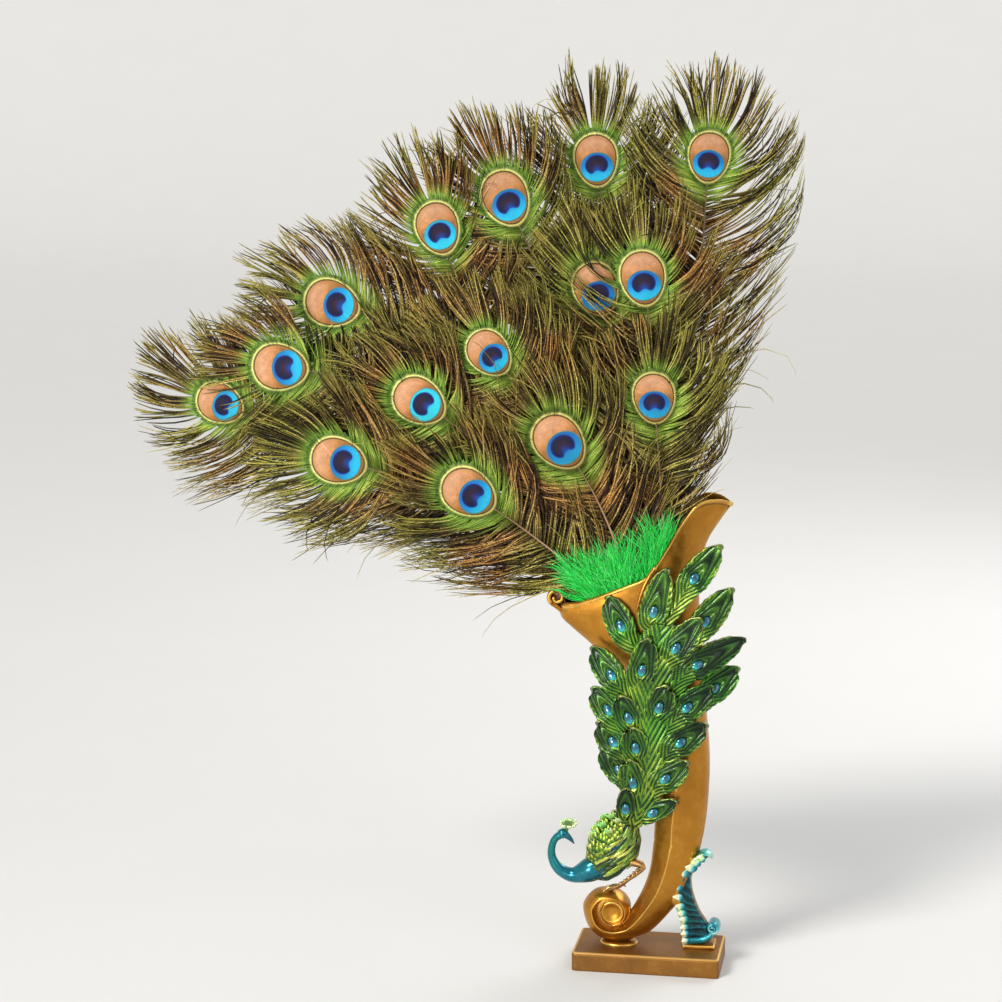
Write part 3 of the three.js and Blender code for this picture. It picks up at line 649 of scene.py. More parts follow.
def edge_colour(look, ring, v, tone, streak):
    """Rings round the eye's disc, with wear towards the throat and browner in deep-toned eyes."""
    colour = look.ramp(look.times(ring, 0.5), EDGE_STOPS)
    # wear: the rings turn browner towards the throat
    wear_and_highlight = look.times(look.spread(v, -4.0, -22.0), 0.55)
    colour = look.tint(wear_and_highlight, colour, (0.80, 0.58, 0.50))
    colour = look.tint(look.spread(tone, 0.55, 0.1, 0.0, 0.8), colour, (0.72, 0.60, 0.48))
    return look.tint(1.0, colour, streak)


def disc_colour(look, ring, v, streak):
    """Bronze disc of the eye, paler towards the tip."""
    colour = look.ramp(look.spread(v, -14.0, 20.0), DISC_STOPS)
    colour = look.tint(1.0, colour, streak)
    mottle = look.spread(look.noise(look.place(), 240.0, 2.0), 0.36, 0.64, 0.90, 1.07)
    colour = look.tint(1.0, colour, mottle)
    return look.mix(look.spread(ring, 0.70, 0.89, 0.0, 0.55), colour, (0.34, 0.16, 0.030))


def blue_colour(look, blue, v, tone, fibres):
    """Blue inside the disc, deep or pale with the eye's own tone, green at its edge."""
    colour = look.ramp(look.spread(v, 7.0, -16.0), BLUE_STOPS)
    colour = look.mix(look.spread(fibres, 0.3, 0.7, 0.0, 0.6), colour, (0.004, 0.15, 0.50))
    pale = look.times(look.spread(tone, 0.5, 1.0), 0.7)
    colour = look.mix(pale, colour, (0.030, 0.56, 0.62))
    deep = look.times(look.spread(tone, 0.5, 0.0), 0.7)
    colour = look.mix(deep, colour, (0.006, 0.065, 0.24))
    return look.mix(look.spread(blue, 0.92, 1.0), colour, (0.030, 0.18, 0.15))


def feather_material():
    """Barbs and eyes, coloured by their place from the eye's centre and along the strand."""
    look = Look("peacock_barbs")
    u, v = look.parts(look.map("eye"))
    u = look.times(u, 1 / MAP_UNIT)
    v = look.times(v, 1 / MAP_UNIT)
    along, chance = look.parts(look.map("strand"))
    tone, reach_share = look.parts(look.map("tone"))
    strand_place = look.join(look.times(along, 1 / MAP_UNIT), look.times(chance, 97.0))
    fibre_place = look.join(look.times(chance, 60.0), look.times(along, 22.0))
    fibres = look.noise(fibre_place, 4.0, 3.0)
    beads = look.noise(strand_place, 0.9, 3.0, 0.75)
    streak = look.spread(fibres, 0.30, 0.70, 0.62, 1.25)
    wobble = look.math("MULTIPLY_ADD", fibres, 0.09, -0.045)
    ring = oval(look, u, v, RING_OVAL, wobble)
    blue = oval(look, u, v, BLUE_OVAL, wobble)
    heart = oval(look, u, v, HEART_OVAL, wobble)
    dent = look.math("EXPONENT", look.times(look.times(u, u), DENT_SHARPNESS))
    dent = look.times(dent, look.spread(v, -2.0, -12.0, 0.0, DENT_DEPTH))
    heart = look.plus(heart, dent)

    # loose barbs, and the green halo that fades outwards into them
    barb = loose_barb_colour(look, beads, chance, reach_share)
    halo = look.ramp(look.plus(look.times(beads, 0.8), look.times(chance, 0.35)), HALO_STOPS)
    reach = look.plus(ring, look.times(beads, 0.55))
    reach = look.plus(reach, look.spread(v, -10.0, 20.0, -0.12, 0.16))
    colour = look.mix(look.spread(reach, 2.20, 1.45), barb, halo)

    # the eye itself, from its edge inwards
    edge = edge_colour(look, ring, v, tone, streak)
    colour = look.mix(look.spread(ring, 1.36, 1.12), colour, edge)
    disc = disc_colour(look, ring, v, streak)
    colour = look.mix(look.spread(ring, 0.895, 0.870), colour, disc)
    rim = blue_colour(look, blue, v, tone, fibres)
    colour = look.mix(look.spread(blue, 1.03, 0.985), colour, rim)
    deep = look.ramp(look.times(heart, 0.5), HEART_STOPS)
    colour = look.mix(look.spread(heart, 1.08, 0.98), colour, deep)
    glow = look.times(dent, look.spread(heart, 1.30, 1.00, 0.0, 1.3))
    colour = look.mix(glow, colour, (0.008, 0.070, 0.42))
    look.bump(fibres, 0.35, 0.0004)
    rough = look.spread(beads, 0.2, 0.9, 0.30, 0.52)
    return look.finish(colour, rough, metallic=0.45, specular_ior_level=0.3)


def quill_material():
    look = Look("feather_shaft")
    along, _ = look.parts(look.map("strand"))
    streaks = look.noise(look.place(), 260.0, 3.0)
    colour = look.ramp(along, [
        (0.0, (0.62, 0.44, 0.30)), (0.40, (0.46, 0.27, 0.17)), (0.75, (0.17, 0.10, 0.045)),
        (1.0, (0.10, 0.085, 0.025)),
    ])
    colour = look.mix(look.times(streaks, 0.5), colour, (0.24, 0.13, 0.07))
    look.bump(streaks, 0.3, 0.0003)
    return look.finish(colour, look.spread(streaks, 0.3, 0.7, 0.35, 0.55))


def dyed_material():
    look = Look("dyed_down")
    along, chance = look.parts(look.map("strand"))
    fine = look.noise(look.place(), 420.0, 3.0)
    light = look.plus(look.times(chance, 0.6), look.times(fine, 0.45))
    colour = look.ramp(light, [
        (0.12, (0.000, 0.22, 0.016)), (0.36, (0.001, 0.58, 0.050)), (0.66, (0.004, 0.90, 0.10)),
        (0.95, (0.26, 0.98, 0.38)),
    ])
    colour = look.mix(look.spread(along, 0.60, 1.0, 0.0, 0.40), colour, (0.24, 0.70, 0.22))
    look.bump(fine, 0.2, 0.0003)
    return look.finish(colour, look.spread(fine, 0.3, 0.7, 0.50, 0.72))


def gold_material(name, dark, mid, bright, roughness, metallic=0.82, wear_map=None):
    """Satin gold paint on cast resin: dull in hollows, rubbed bright on edges. Where the
    edges lie is read from the mesh, or from a map where one is named."""
    look = Look(name)
    broad = look.noise(look.place(), 28.0, 4.0)
    fine = look.noise(look.place(), 900.0, 3.0, 0.7)
    brushed = look.noise(look.place(), 170.0, 5.0, 0.65)
    colour = look.mix(look.spread(broad, 0.20, 0.80), dark, mid)
    colour = look.mix(look.times(look.spread(brushed, 0.45, 0.85), 0.14), colour, bright)
    edge = look.parts(look.map(wear_map))[0] if wear_map else look.pointiness()
    colour = look.mix(look.spread(edge, 0.515, 0.60), colour, bright)
    colour = look.mix(look.spread(edge, 0.475, 0.41, 0.0, 0.7), colour, (0.085, 0.038, 0.010))
    colour = look.mix(look.times(look.spread(fine, 0.55, 0.8), 0.25), colour, dark)
    rough = look.plus(look.spread(brushed, 0.3, 0.75, roughness, roughness + 0.12),
                      look.spread(edge, 0.52, 0.62, 0.0, -0.08))
    look.bump(look.plus(look.times(fine, 0.3), brushed), 0.22, 0.0006)
    return look.finish(colour, rough, metallic=metallic)


def glaze_material(name, stops, edge_highlight, roughness=0.26, texture=0.18, mottle=0.34, cloud=0.7):
    """Metallic glaze over relief; the map 'relief' holds its height, 0 deep to 1 raised, and
    a shift of the whole piece's shade. Raised places take the pale colours as painted highlight
    and deep places the dark ones as painted shade, over the glaze's own tones; sharp edges get
    a painted edge highlight and hollows the deepest colour."""
    look = Look(name)
    height, extra = look.parts(look.map("relief"))
    broad = look.noise(look.place(), 75.0, 4.0)
    fine = look.noise(look.place(), 620.0, 3.0, 0.65)
    level = look.plus(height, look.math("MULTIPLY_ADD", broad, mottle, -mottle / 2))
    level = look.plus(level, look.math("MULTIPLY_ADD", fine, 0.22, -0.11))
    level = look.plus(level, extra)
    colour = look.ramp(level, stops)
    edge = look.pointiness()
    colour = look.mix(look.spread(edge, 0.48, 0.42, 0.0, 0.75), colour, stops[0][1])
    # painted edge highlight on sharp convex edges
    colour = look.mix(look.spread(edge, 0.54, 0.66, 0.0, 0.55), colour, edge_highlight)
    emerald = look.noise(look.place(), 24.0, 2.0)
    colour = look.tint(look.spread(emerald, 0.50, 0.68, 0.0, cloud), colour, (0.30, 1.0, 0.45))
    colour = look.tint(look.spread(emerald, 0.46, 0.32, 0.0, 0.6), colour, (1.0, 0.70, 0.45))
    rough = look.spread(fine, 0.3, 0.75, roughness, roughness + 0.16)
    look.bump(look.plus(fine, broad), texture, 0.0005)
    return look.finish(colour, rough, metallic=0.65, coat_weight=0.25, coat_roughness=0.10)


def stone_material():
    look = Look("blue_stone")
    x, y = look.parts(look.map("relief"))
    cells = look.node("TexVoronoi", look.join(look.times(x, 1.3), y), None, 2.6,
                      output=1)
    sparkle = look.noise(look.place(), 520.0, 3.0)
    colour = look.ramp(look.spread(y, -1.0, 1.0), [
        (0.0, (0.030, 0.46, 0.50)), (0.35, (0.006, 0.18, 0.24)), (0.75, (0.003, 0.065, 0.11)),
        (1.0, (0.016, 0.20, 0.25)),
    ])
    colour = look.mix(0.16, colour, cells, "OVERLAY")
    colour = look.mix(look.spread(sparkle, 0.60, 0.78, 0.0, 0.5), colour, (0.06, 0.46, 0.55))
    return look.finish(colour, look.spread(sparkle, 0.3, 0.7, 0.06, 0.14), metallic=0.35,
                       coat_weight=1.0, coat_roughness=0.03)


def floor_material():
    look = Look("pale_floor")
    grain = look.noise(look.place(), 6.0, 4.0)
    colour = look.mix(look.spread(grain, 0.2, 0.8), (0.675, 0.67, 0.655), (0.685, 0.68, 0.665))
    return look.finish(colour, 0.75)


BARBS = feather_material()
SHAFT = quill_material()
DYED = dyed_material()
GOLD = gold_material("gold_paint", (0.33, 0.135, 0.013), (0.51, 0.225, 0.022),
                     (1.0, 0.66, 0.16), 0.27)
BASE_GOLD = gold_material("dull_gold_paint", (0.17, 0.070, 0.010), (0.27, 0.115, 0.014),
                          (0.75, 0.44, 0.12), 0.42, 0.6, "wear")
BRONZE = gold_material("bronze_paint", (0.14, 0.055, 0.012), (0.27, 0.125, 0.030),
                       (0.62, 0.40, 0.16), 0.30)
TAIL_STOPS = [
    (0.06, (0.003, 0.014, 0.002)), (0.26, (0.013, 0.058, 0.004)), (0.46, (0.050, 0.15, 0.008)),
    (0.64, (0.130, 0.27, 0.014)), (0.82, (0.32, 0.38, 0.032)), (1.0, (0.66, 0.62, 0.15)),
]
TAIL = glaze_material("green_glaze", TAIL_STOPS, (0.70, 0.70, 0.22), 0.24, 0.18, 0.75)
TEAL_STOPS = [
    (0.08, (0.001, 0.010, 0.016)), (0.34, (0.002, 0.050, 0.065)), (0.58, (0.010, 0.24, 0.30)),
    (0.74, (0.12, 0.55, 0.62)), (0.86, (0.88, 0.84, 0.56)),
]
TEAL = glaze_material("teal_glaze", TEAL_STOPS, (0.80, 0.82, 0.62))
SCALE_STOPS = [
    (0.08, (0.002, 0.020, 0.006)), (0.34, (0.014, 0.085, 0.008)), (0.56, (0.12, 0.25, 0.014)),
    (0.76, (0.46, 0.49, 0.045)), (0.97, (0.90, 0.82, 0.28)),
]
SCALES = glaze_material("scale_glaze", SCALE_STOPS, (0.92, 0.86, 0.38), cloud=0.25)
NECK = glaze_material("neck_glaze", [
    (0.10, (0.002, 0.030, 0.045)), (0.45, (0.004, 0.115, 0.165)), (0.70, (0.010, 0.23, 0.30)),
    (0.95, (0.08, 0.46, 0.52)),
], (0.10, 0.50, 0.56), 0.16, 0.03)
CREAM_PAINT = glaze_material("cream_glaze", [
    (0.10, (0.10, 0.20, 0.05)), (0.45, (0.42, 0.50, 0.15)), (0.80, (0.80, 0.82, 0.44)),
    (0.97, (0.93, 0.93, 0.66)),
], (0.94, 0.94, 0.70))
STONE_BLUE = stone_material()

# ---------------------------------------------------------------- plinth

BEND_STEPS = 6                          # of a rounded corner or edge
PLINTH_SIDE_LEVELS = [0.5, 1.5, 3, 5, 7.5, 10, 12, 13]
PLINTH_TOP_INSETS = [5, 12, 20, 28]
PLAIN_WEAR = 0.5
EDGE_WEAR = [0.5, 0.55, 0.585]          # from the edge's lower side to the top


def plinth():
    """Block with rounded corners and a rounded upper edge whose wear shows bright."""
    shells = Shells()
    half_x = PLINTH["length"] / 2
    half_y = PLINTH["depth"] / 2
    height = PLINTH["height"]
    edge = PLINTH["edge"]
    turn = np.linspace(0, np.pi / 2, BEND_STEPS)
    side_levels = [*PLINTH_SIDE_LEVELS, height - edge]
    top_insets = [edge + 1, *PLINTH_TOP_INSETS]
    insets = [0.5, *[0.0] * len(side_levels), *(edge * (1 - np.cos(turn))), *top_insets]
    levels = [0.0, *side_levels, *(height - edge + edge * np.sin(turn)), *[height] * len(top_insets)]
    sides = []
    for sx, sy in ((1, 1), (-1, 1), (-1, -1), (1, -1)):
        start = math.atan2(sy, sx) - math.pi / 4
        for angle in start + np.linspace(0, math.pi / 2, BEND_STEPS):
            sides.append((sx, sy, math.cos(angle), math.sin(angle)))
    rings = []
    for inset, level in zip(insets, levels):
        corner = PLINTH["corner"] - (inset if inset <= edge else 0)
        ring = []
        for sx, sy, turn_x, turn_y in sides:
            ring.append((
                sx * (half_x - inset - corner) + corner * turn_x,
                sy * (half_y - inset - corner) + corner * turn_y,
                level,
            ))
        rings.append(ring)
    rings = refine(rings, 5)
    wear = np.interp(levels, [height - edge, height - 0.5 * edge, height], EDGE_WEAR)
    wear[-len(top_insets):] = PLAIN_WEAR
    shells.loft(rings, wear=level_map(rings, wear))
    shells.make("plinth_cast", [BASE_GOLD], ["plinth"])


# ---------------------------------------------------------------- horn

HORN_COLUMNS = 104
HORN_ROWS = 84
RIDGE_COLUMN = 76                       # the column that runs down the front ridge
RIDGE_FADES = (154, 116)                # height where the ridge starts, and where it is full
RIDGE_SHIFT = 0.46                      # how far the ridge may stand from its own column
RIDGE_STAND = 1.1                       # how far it stands out, in half depths
# The ridge's share of the way across, over height.
RIDGE_HEIGHTS = [101, 127, 150]
RIDGE_SHARES = [0.396, 0.373, 0.31]
MOUTH_END = 0.012                       # where the outside gives way to the rounded rim
FOOT_TUCK = 0.8                         # how far the horn's lower end is drawn in, into the leg
LEG_TUCK = 1.8                          # and the leg's upper end, into the horn
BEAD_HANDOVER = (100, 103)              # heights between which the ridge's bead changes piece
ROLL_ROWS = 9                           # of the rounded rim


def ring_between(left, right, depth, grow):
    """Superellipse rings between left and right outline points (x, z), one per row."""
    left, right = np.asarray(left, float), np.asarray(right, float)
    depth, grow = np.broadcast_arrays(np.asarray(depth, float), np.asarray(grow, float))
    width = np.linalg.norm((right - left) / 2, axis=1)
    angle = full_turn(HORN_COLUMNS)
    across = sharpen(np.cos(angle), RING_POWER) * ((width + grow) / width)[:, None]
    y = (depth + grow)[:, None] * sharpen(np.sin(angle), RING_POWER)
    return rings_across(left, right, across, y)


def ridged_between(left, right, depth, ridge, grow):
    """Rings whose front rises to a crease, a share ridge of the way from left to right."""
    left, right = np.asarray(left, float), np.asarray(right, float)
    depth = np.asarray(depth, float)
    grow = np.broadcast_to(grow, depth.shape)
    rings = ring_between(left, right, depth, grow)
    reach = 1 + grow / np.linalg.norm((right - left) / 2, axis=1)
    angle = full_turn(HORN_COLUMNS)
    front = (np.sin(angle) < -1e-6)[None]
    across = sharpen(np.cos(angle), RING_POWER)
    seat = across[RIDGE_COLUMN]
    crest = np.clip(2 * np.asarray(ridge, float) - 1, seat - RIDGE_SHIFT, seat + RIDGE_SHIFT)[:, None]
    moved = across + (crest - seat) / (1 - seat**2) * (1 - across**2)
    left_fall = np.clip((crest - moved) / (1 + crest), 0, 1)
    right_fall = np.clip((moved - crest) / (1 - crest), 0, 1)
    rise = np.where(moved < crest, 1 - 0.75 * left_fall, (1 - right_fall**1.6) ** 0.65)
    rise = rise * np.sqrt(np.clip(1 - np.abs(moved) ** 14, 0, 1))
    y = -rise * (depth + grow)[:, None] * RIDGE_STAND
    ridged = rings_across(left, right, moved * reach[:, None], y)
    return np.where(front[..., None], ridged, rings)


def rim_offsets():
    """How far each rim point stands off the plain top ring."""
    left, right, depth, _ = HORN_LEVELS[0]
    top = ring_between([left], [right], [depth], [0])[0]
    turn = 2 * np.arange(HORN_COLUMNS) / HORN_COLUMNS
    front = turn >= 1
    rim = spline_at(FRONT_RIM, np.where(front, 2 - turn, turn))
    rim[:, 1] = np.where(front, rim[:, 1], -rim[:, 1])
    rim[:, 2] += np.where(front, 0, REAR_RIM_RISE * np.sin(np.pi * turn))
    return rim - top


def horn_rows(places, grow, drop=0.0):
    """Rings of the horn at places from 0 (mouth) to 1 (bottom)."""
    places = np.asarray(places, float)
    values = [[*left, *right, depth, rim] for left, right, depth, rim in HORN_LEVELS]
    level = spline_at(values, places)
    left, right, depth = level[:, :2], level[:, 2:4], level[:, 4]
    grow = np.broadcast_to(grow, places.shape)
    height = (left[:, 1] + right[:, 1]) / 2
    ridge = np.interp(height, RIDGE_HEIGHTS, RIDGE_SHARES)
    weight = smoothstep(*RIDGE_FADES, height)[:, None, None]
    plain = ring_between(left, right, depth, grow)
    rings = plain + (ridged_between(left, right, depth, ridge, grow) - plain) * weight
    rings = rings + rim_offsets()[None] * level[:, 5:6, None]
    rings[..., 2] += np.broadcast_to(drop, places.shape)[:, None]
    return rings


def horn():
    """Outside, rounded rim and cavity in one skin, with the ridge's bead, the rolled
    left end of the mouth and the seam."""
    shells = Shells()
    places = np.linspace(1, MOUTH_END, HORN_ROWS)
    outer = horn_rows(places, -FOOT_TUCK * smoothstep(0.97, 1.0, places))
    roll = np.linspace(-0.35, 1.0, ROLL_ROWS) * np.pi
    rim = horn_rows(np.zeros(ROLL_ROWS), -WALL / 2 + 2.1 * np.cos(roll), 1.9 * np.sin(roll) - 0.6)
    depth_share = (CAVITY_LEVELS - 1) / (len(HORN_LEVELS) - 1)
    inner = horn_rows(np.linspace(MOUTH_END + 0.002, depth_share, 30), -WALL)
    shells.loft(np.concatenate([outer, rim, inner]))
    crest = outer[:, RIDGE_COLUMN]
    crest = crest[(crest[:, 2] < RIDGE_FADES[0]) & (crest[:, 2] > BEAD_HANDOVER[0])]
    height = crest[:, 2]
    fade = smoothstep(RIDGE_FADES[0], 130, height) * smoothstep(*BEAD_HANDOVER, height)
    shells.loft(ridge_bead(crest, fade))

    # the left end of the mouth, flared out of the wall and rolled over
    lead = spline(CURL_LEAD, 14)
    path = np.vstack([lead[:-1], curl(CURL, np.linspace(0, 1, 62), 1.3)])
    share = np.linspace(0, 1, len(path))
    thick = np.interp(share, [0, 0.12, 0.3, 0.9, 1], [1.4, 2.4, 2.1, 1.5, 1.6])
    wide = np.interp(share, [0, 0.08, 0.2, 1], [3, 10, CURL["half_length"], CURL["half_length"]])
    shells.loft(sweep(path, thick, wide, 32, 5.0))
    shells.loft(tube(SEAM_ROUTE, SEAM_RADII, 34, 16))
    shells.make("horn_cast", [GOLD], ["horn"])


# ---------------------------------------------------------------- scroll foot

LEG_ROWS = 200
LEG_RIDGE_ROWS = 120                    # of them, the ridge's bead runs along the first


def scroll_foot():
    """Leg and volute in one ridged skin, with the volute's discs, lip and leaf tips."""
    shells = Shells()
    table = [[*left, *right, depth, ridge] for left, right, depth, ridge in LEG_LEVELS]
    centre = np.array([VOLUTE["x"], VOLUTE["z"]])
    for angle, outer, inner, ridge in VOLUTE_TURNS:
        turn = math.radians(angle)
        spoke = np.array([math.cos(turn), math.sin(turn)])
        table.append([*(centre + inner * spoke), *(centre + outer * spoke), VOLUTE["half_depth"], ridge])
    rows = spline(table, LEG_ROWS)
    sink = -LEG_TUCK * smoothstep(102, 109, rows[:, 1])
    rings = ridged_between(rows[:, :2], rows[:, 2:4], rows[:, 4], rows[:, 5], sink)
    shells.loft(rings)
    crest = rings[:LEG_RIDGE_ROWS, RIDGE_COLUMN]
    handover = smoothstep(*BEAD_HANDOVER[::-1], crest[:, 2])
    fade = smoothstep(0, 0.3, np.linspace(1, 0, len(crest))) * handover
    shells.loft(ridge_bead(crest, fade))
    angle = full_turn(48)
    for profile in (VOLUTE_DISH, VOLUTE_WEB):
        shells.loft([around(VOLUTE, radius, angle, y) for radius, y in profile])

    # thin lip where the volute stands on the plinth
    lip = []
    for share, z in LIP_PROFILE:
        x = FOOT_LIP["x"] + FOOT_LIP["half_length"] * share * np.cos(angle)
        y = FOOT_LIP["half_depth"] * share * np.sin(angle)
        lip.append(np.stack([x, y, np.full(len(angle), float(z))], -1))
    shells.loft(lip)

    # gold leaf tips that show beside the bracket
    for x, z in LEAF_TIPS:
        shells.loft(leaf((x, -6.4, z), (-0.36, -0.12, 1), (0, -1, 0), 12, 7.5, 5, 0.8, 12, 16, 0.8))
    shells.make("scroll_foot_cast", [GOLD], ["scroll_foot"])


# ---------------------------------------------------------------- bracket

GOLD_FINISH = 1                         # the second of the bracket's two materials


def bracket_edge(side, places):
    """Outline (x, z) of the leaf on its left (0) or right (1) side."""
    return spline_at([edge[side] for edge in BRACKET_EDGES], places)


def bracket():
    """Acanthus strut: plain gold core, ribbed face, lobed edge, curled tip, volute, foot."""
    shells = Shells()
    rows, columns = 90, 44
    places = np.linspace(0, 1, rows)
    left, right = bracket_edge(0, places), bracket_edge(1, places)
    inward = unit(right - left)
    angle = full_turn(columns)
    across = sharpen(np.cos(angle), BRACKET_POWER)
    deep = sharpen(np.sin(angle), BRACKET_POWER)
    core = np.where(deep < 0, deep * (BRACKET_HALF_DEPTH - 5), deep * BRACKET_HALF_DEPTH)
    y = np.broadcast_to(BRACKET_Y + core, (rows, columns))
    shells.glaze(rings_across(left - inward * 1.3, right, across, y), 0.0, GOLD_FINISH)

    # ribbed and hollowed face
    rib = 0.5 + 0.5 * np.cos(2 * np.pi * (places[:, None] * BRACKET_LOBES - across * 0.55))
    hollow = np.clip(1 - ((across - 0.2) / 0.8) ** 2, 0, 1)
    lift = np.where(deep < 0, 1.4 - 3.4 * hollow + 1.3 * rib * hollow, 0)
    y = BRACKET_Y + deep * (BRACKET_HALF_DEPTH - 0.4) - lift * np.abs(deep)
    rings = rings_across(left + inward * 0.8, right - inward * 0.2, across, y)
    # ribs paler as painted highlight, the hollow darker as painted shade
    shells.glaze(rings, 0.24 + 0.26 * rib - 0.10 * hollow)

    # scalloped edge: a rolled cord and the curled lobes that overlap along it
    cord = np.stack([left[:, 0], np.full(rows, BRACKET_Y - 8.6), left[:, 1]], -1)
    swell = np.abs(np.sin(np.pi * places * BRACKET_LOBES)) ** 0.6
    shells.glaze(sweep(cord, 1.0 + 0.8 * swell, 1.3 + 0.8 * swell, 14), 0.72 + 0.25 * swell)
    for k in range(BRACKET_LOBES):
        place = np.array([(k + 0.5) / BRACKET_LOBES])
        edge, mate = bracket_edge(0, place)[0], bracket_edge(1, place)[0]
        size = np.interp(k, [0, 2, 5, BRACKET_LOBES], [5.5, 8.6, 8.0, 6.0])
        side = unit(edge - mate)
        start = (edge[0] - side[0] * size * 0.9, BRACKET_Y - 8.4, edge[1] - side[1] * size * 0.9 - 1.2)
        heading = (side[0], -0.26, side[1] + 0.3)
        rings = leaf(start, heading, (0.1, -1, 0), size * 1.22, size * 0.95, 3.2, 0.8, 10, 14, 0.75)
        shells.glaze(rings, np.linspace(0.36, 1.3, 10))

    # curled tip, small volute, foot band and gold sole
    rings = tube(BRACKET_TIP, BRACKET_TIP_RADII, 30, 14)
    rings[..., 1] = BRACKET_Y + (rings[..., 1] - BRACKET_TIP[0][1]) * 3.0
    shells.glaze(rings, np.linspace(0.5, 0.86, 30))
    turn = np.linspace(0, 1, 80)
    path = curl(BRACKET_VOLUTE, turn, 1.0, BRACKET_Y)
    rings = sweep(path, 2.1 - 0.9 * turn, 8.8 + 2.0 * turn, 22, 3.0)
    shells.glaze(rings, 0.66 + 0.10 * np.sin(turn * 14))
    rings = sweep(spline(BRACKET_BAND, 30), np.linspace(3.6, 2.4, 30), 9.3, 26, 3.4)
    shells.glaze(rings, np.linspace(0.50, 0.66, 30))
    shells.glaze(sweep(spline(BRACKET_SOLE, 26), 1.9, 9.9, 24, 5.0), 0.0, GOLD_FINISH)
    shells.make("acanthus_bracket_cast", [TEAL, GOLD], ["acanthus_bracket"])


# ---------------------------------------------------------------- bird

# Places of the bird's materials in its list; its scales are the first.
NECK_FINISH = 1
EYE_FINISH = 2
CREAM_FINISH = 3
BLADE_ROWS = 13
BLADE_COLUMNS = 8
BLADE_TURNS = (250, 282, 314, 344)      # where the streaked feathers start, in degrees
RUMP_END = 0.985                        # heights on the body stop just short of its poles


def egg_radius(height):
    """Radius of the body at a height, as a share of its half width."""
    return np.interp(height, [h for _, h in BODY_EGG], [r for r, _ in BODY_EGG])


def body_point(turn, height):
    """Point on the bird's body, its outward direction and the body's long axis: turn in
    degrees round that axis (0 right, 90 back, 270 front), height from -1 (breast) to 1 (rump)."""
    radius = egg_radius(height)
    a = math.radians(turn)
    size = np.array([BIRD_BODY["half_width"], BIRD_BODY["half_depth"], BIRD_BODY["half_length"]])
    local = size * (radius * math.cos(a), radius * math.sin(a), height)
    out = local / size**2
    lean = math.radians(BIRD_BODY["lean"])
    spin = np.array([[math.cos(lean), 0, math.sin(lean)], [0, 1, 0],
                     [-math.sin(lean), 0, math.cos(lean)]])
    centre = np.array([BIRD_BODY["x"], BIRD_BODY["y"], BIRD_BODY["z"]])
    return centre + spin @ local, unit(spin @ out), spin @ np.array([0.0, 0.0, 1.0])


def body_blade(start, end, width, thickness, stand):
    """Rings of a narrow feather laid on the body from start to end (turn, height)."""
    path, outs = [], []
    shares = np.linspace(0, 1, BLADE_ROWS)
    for share in shares:
        turn = start[0] + (end[0] - start[0]) * share
        height = start[1] + (end[1] - start[1]) * share
        point, out, _ = body_point(turn, min(height, RUMP_END))
        path.append(point + out * (stand + 1.1 * math.sin(math.pi * share)))
        outs.append(out)
    half = width / 2 * np.sin(np.pi * np.clip(shares, 0.05, 0.97) ** 0.75) ** 0.6
    half_depth = thickness / 2 * (1.1 - shares * 0.8)
    return sweep(np.array(path), half, half_depth, BLADE_COLUMNS, 2.0, np.array(outs))


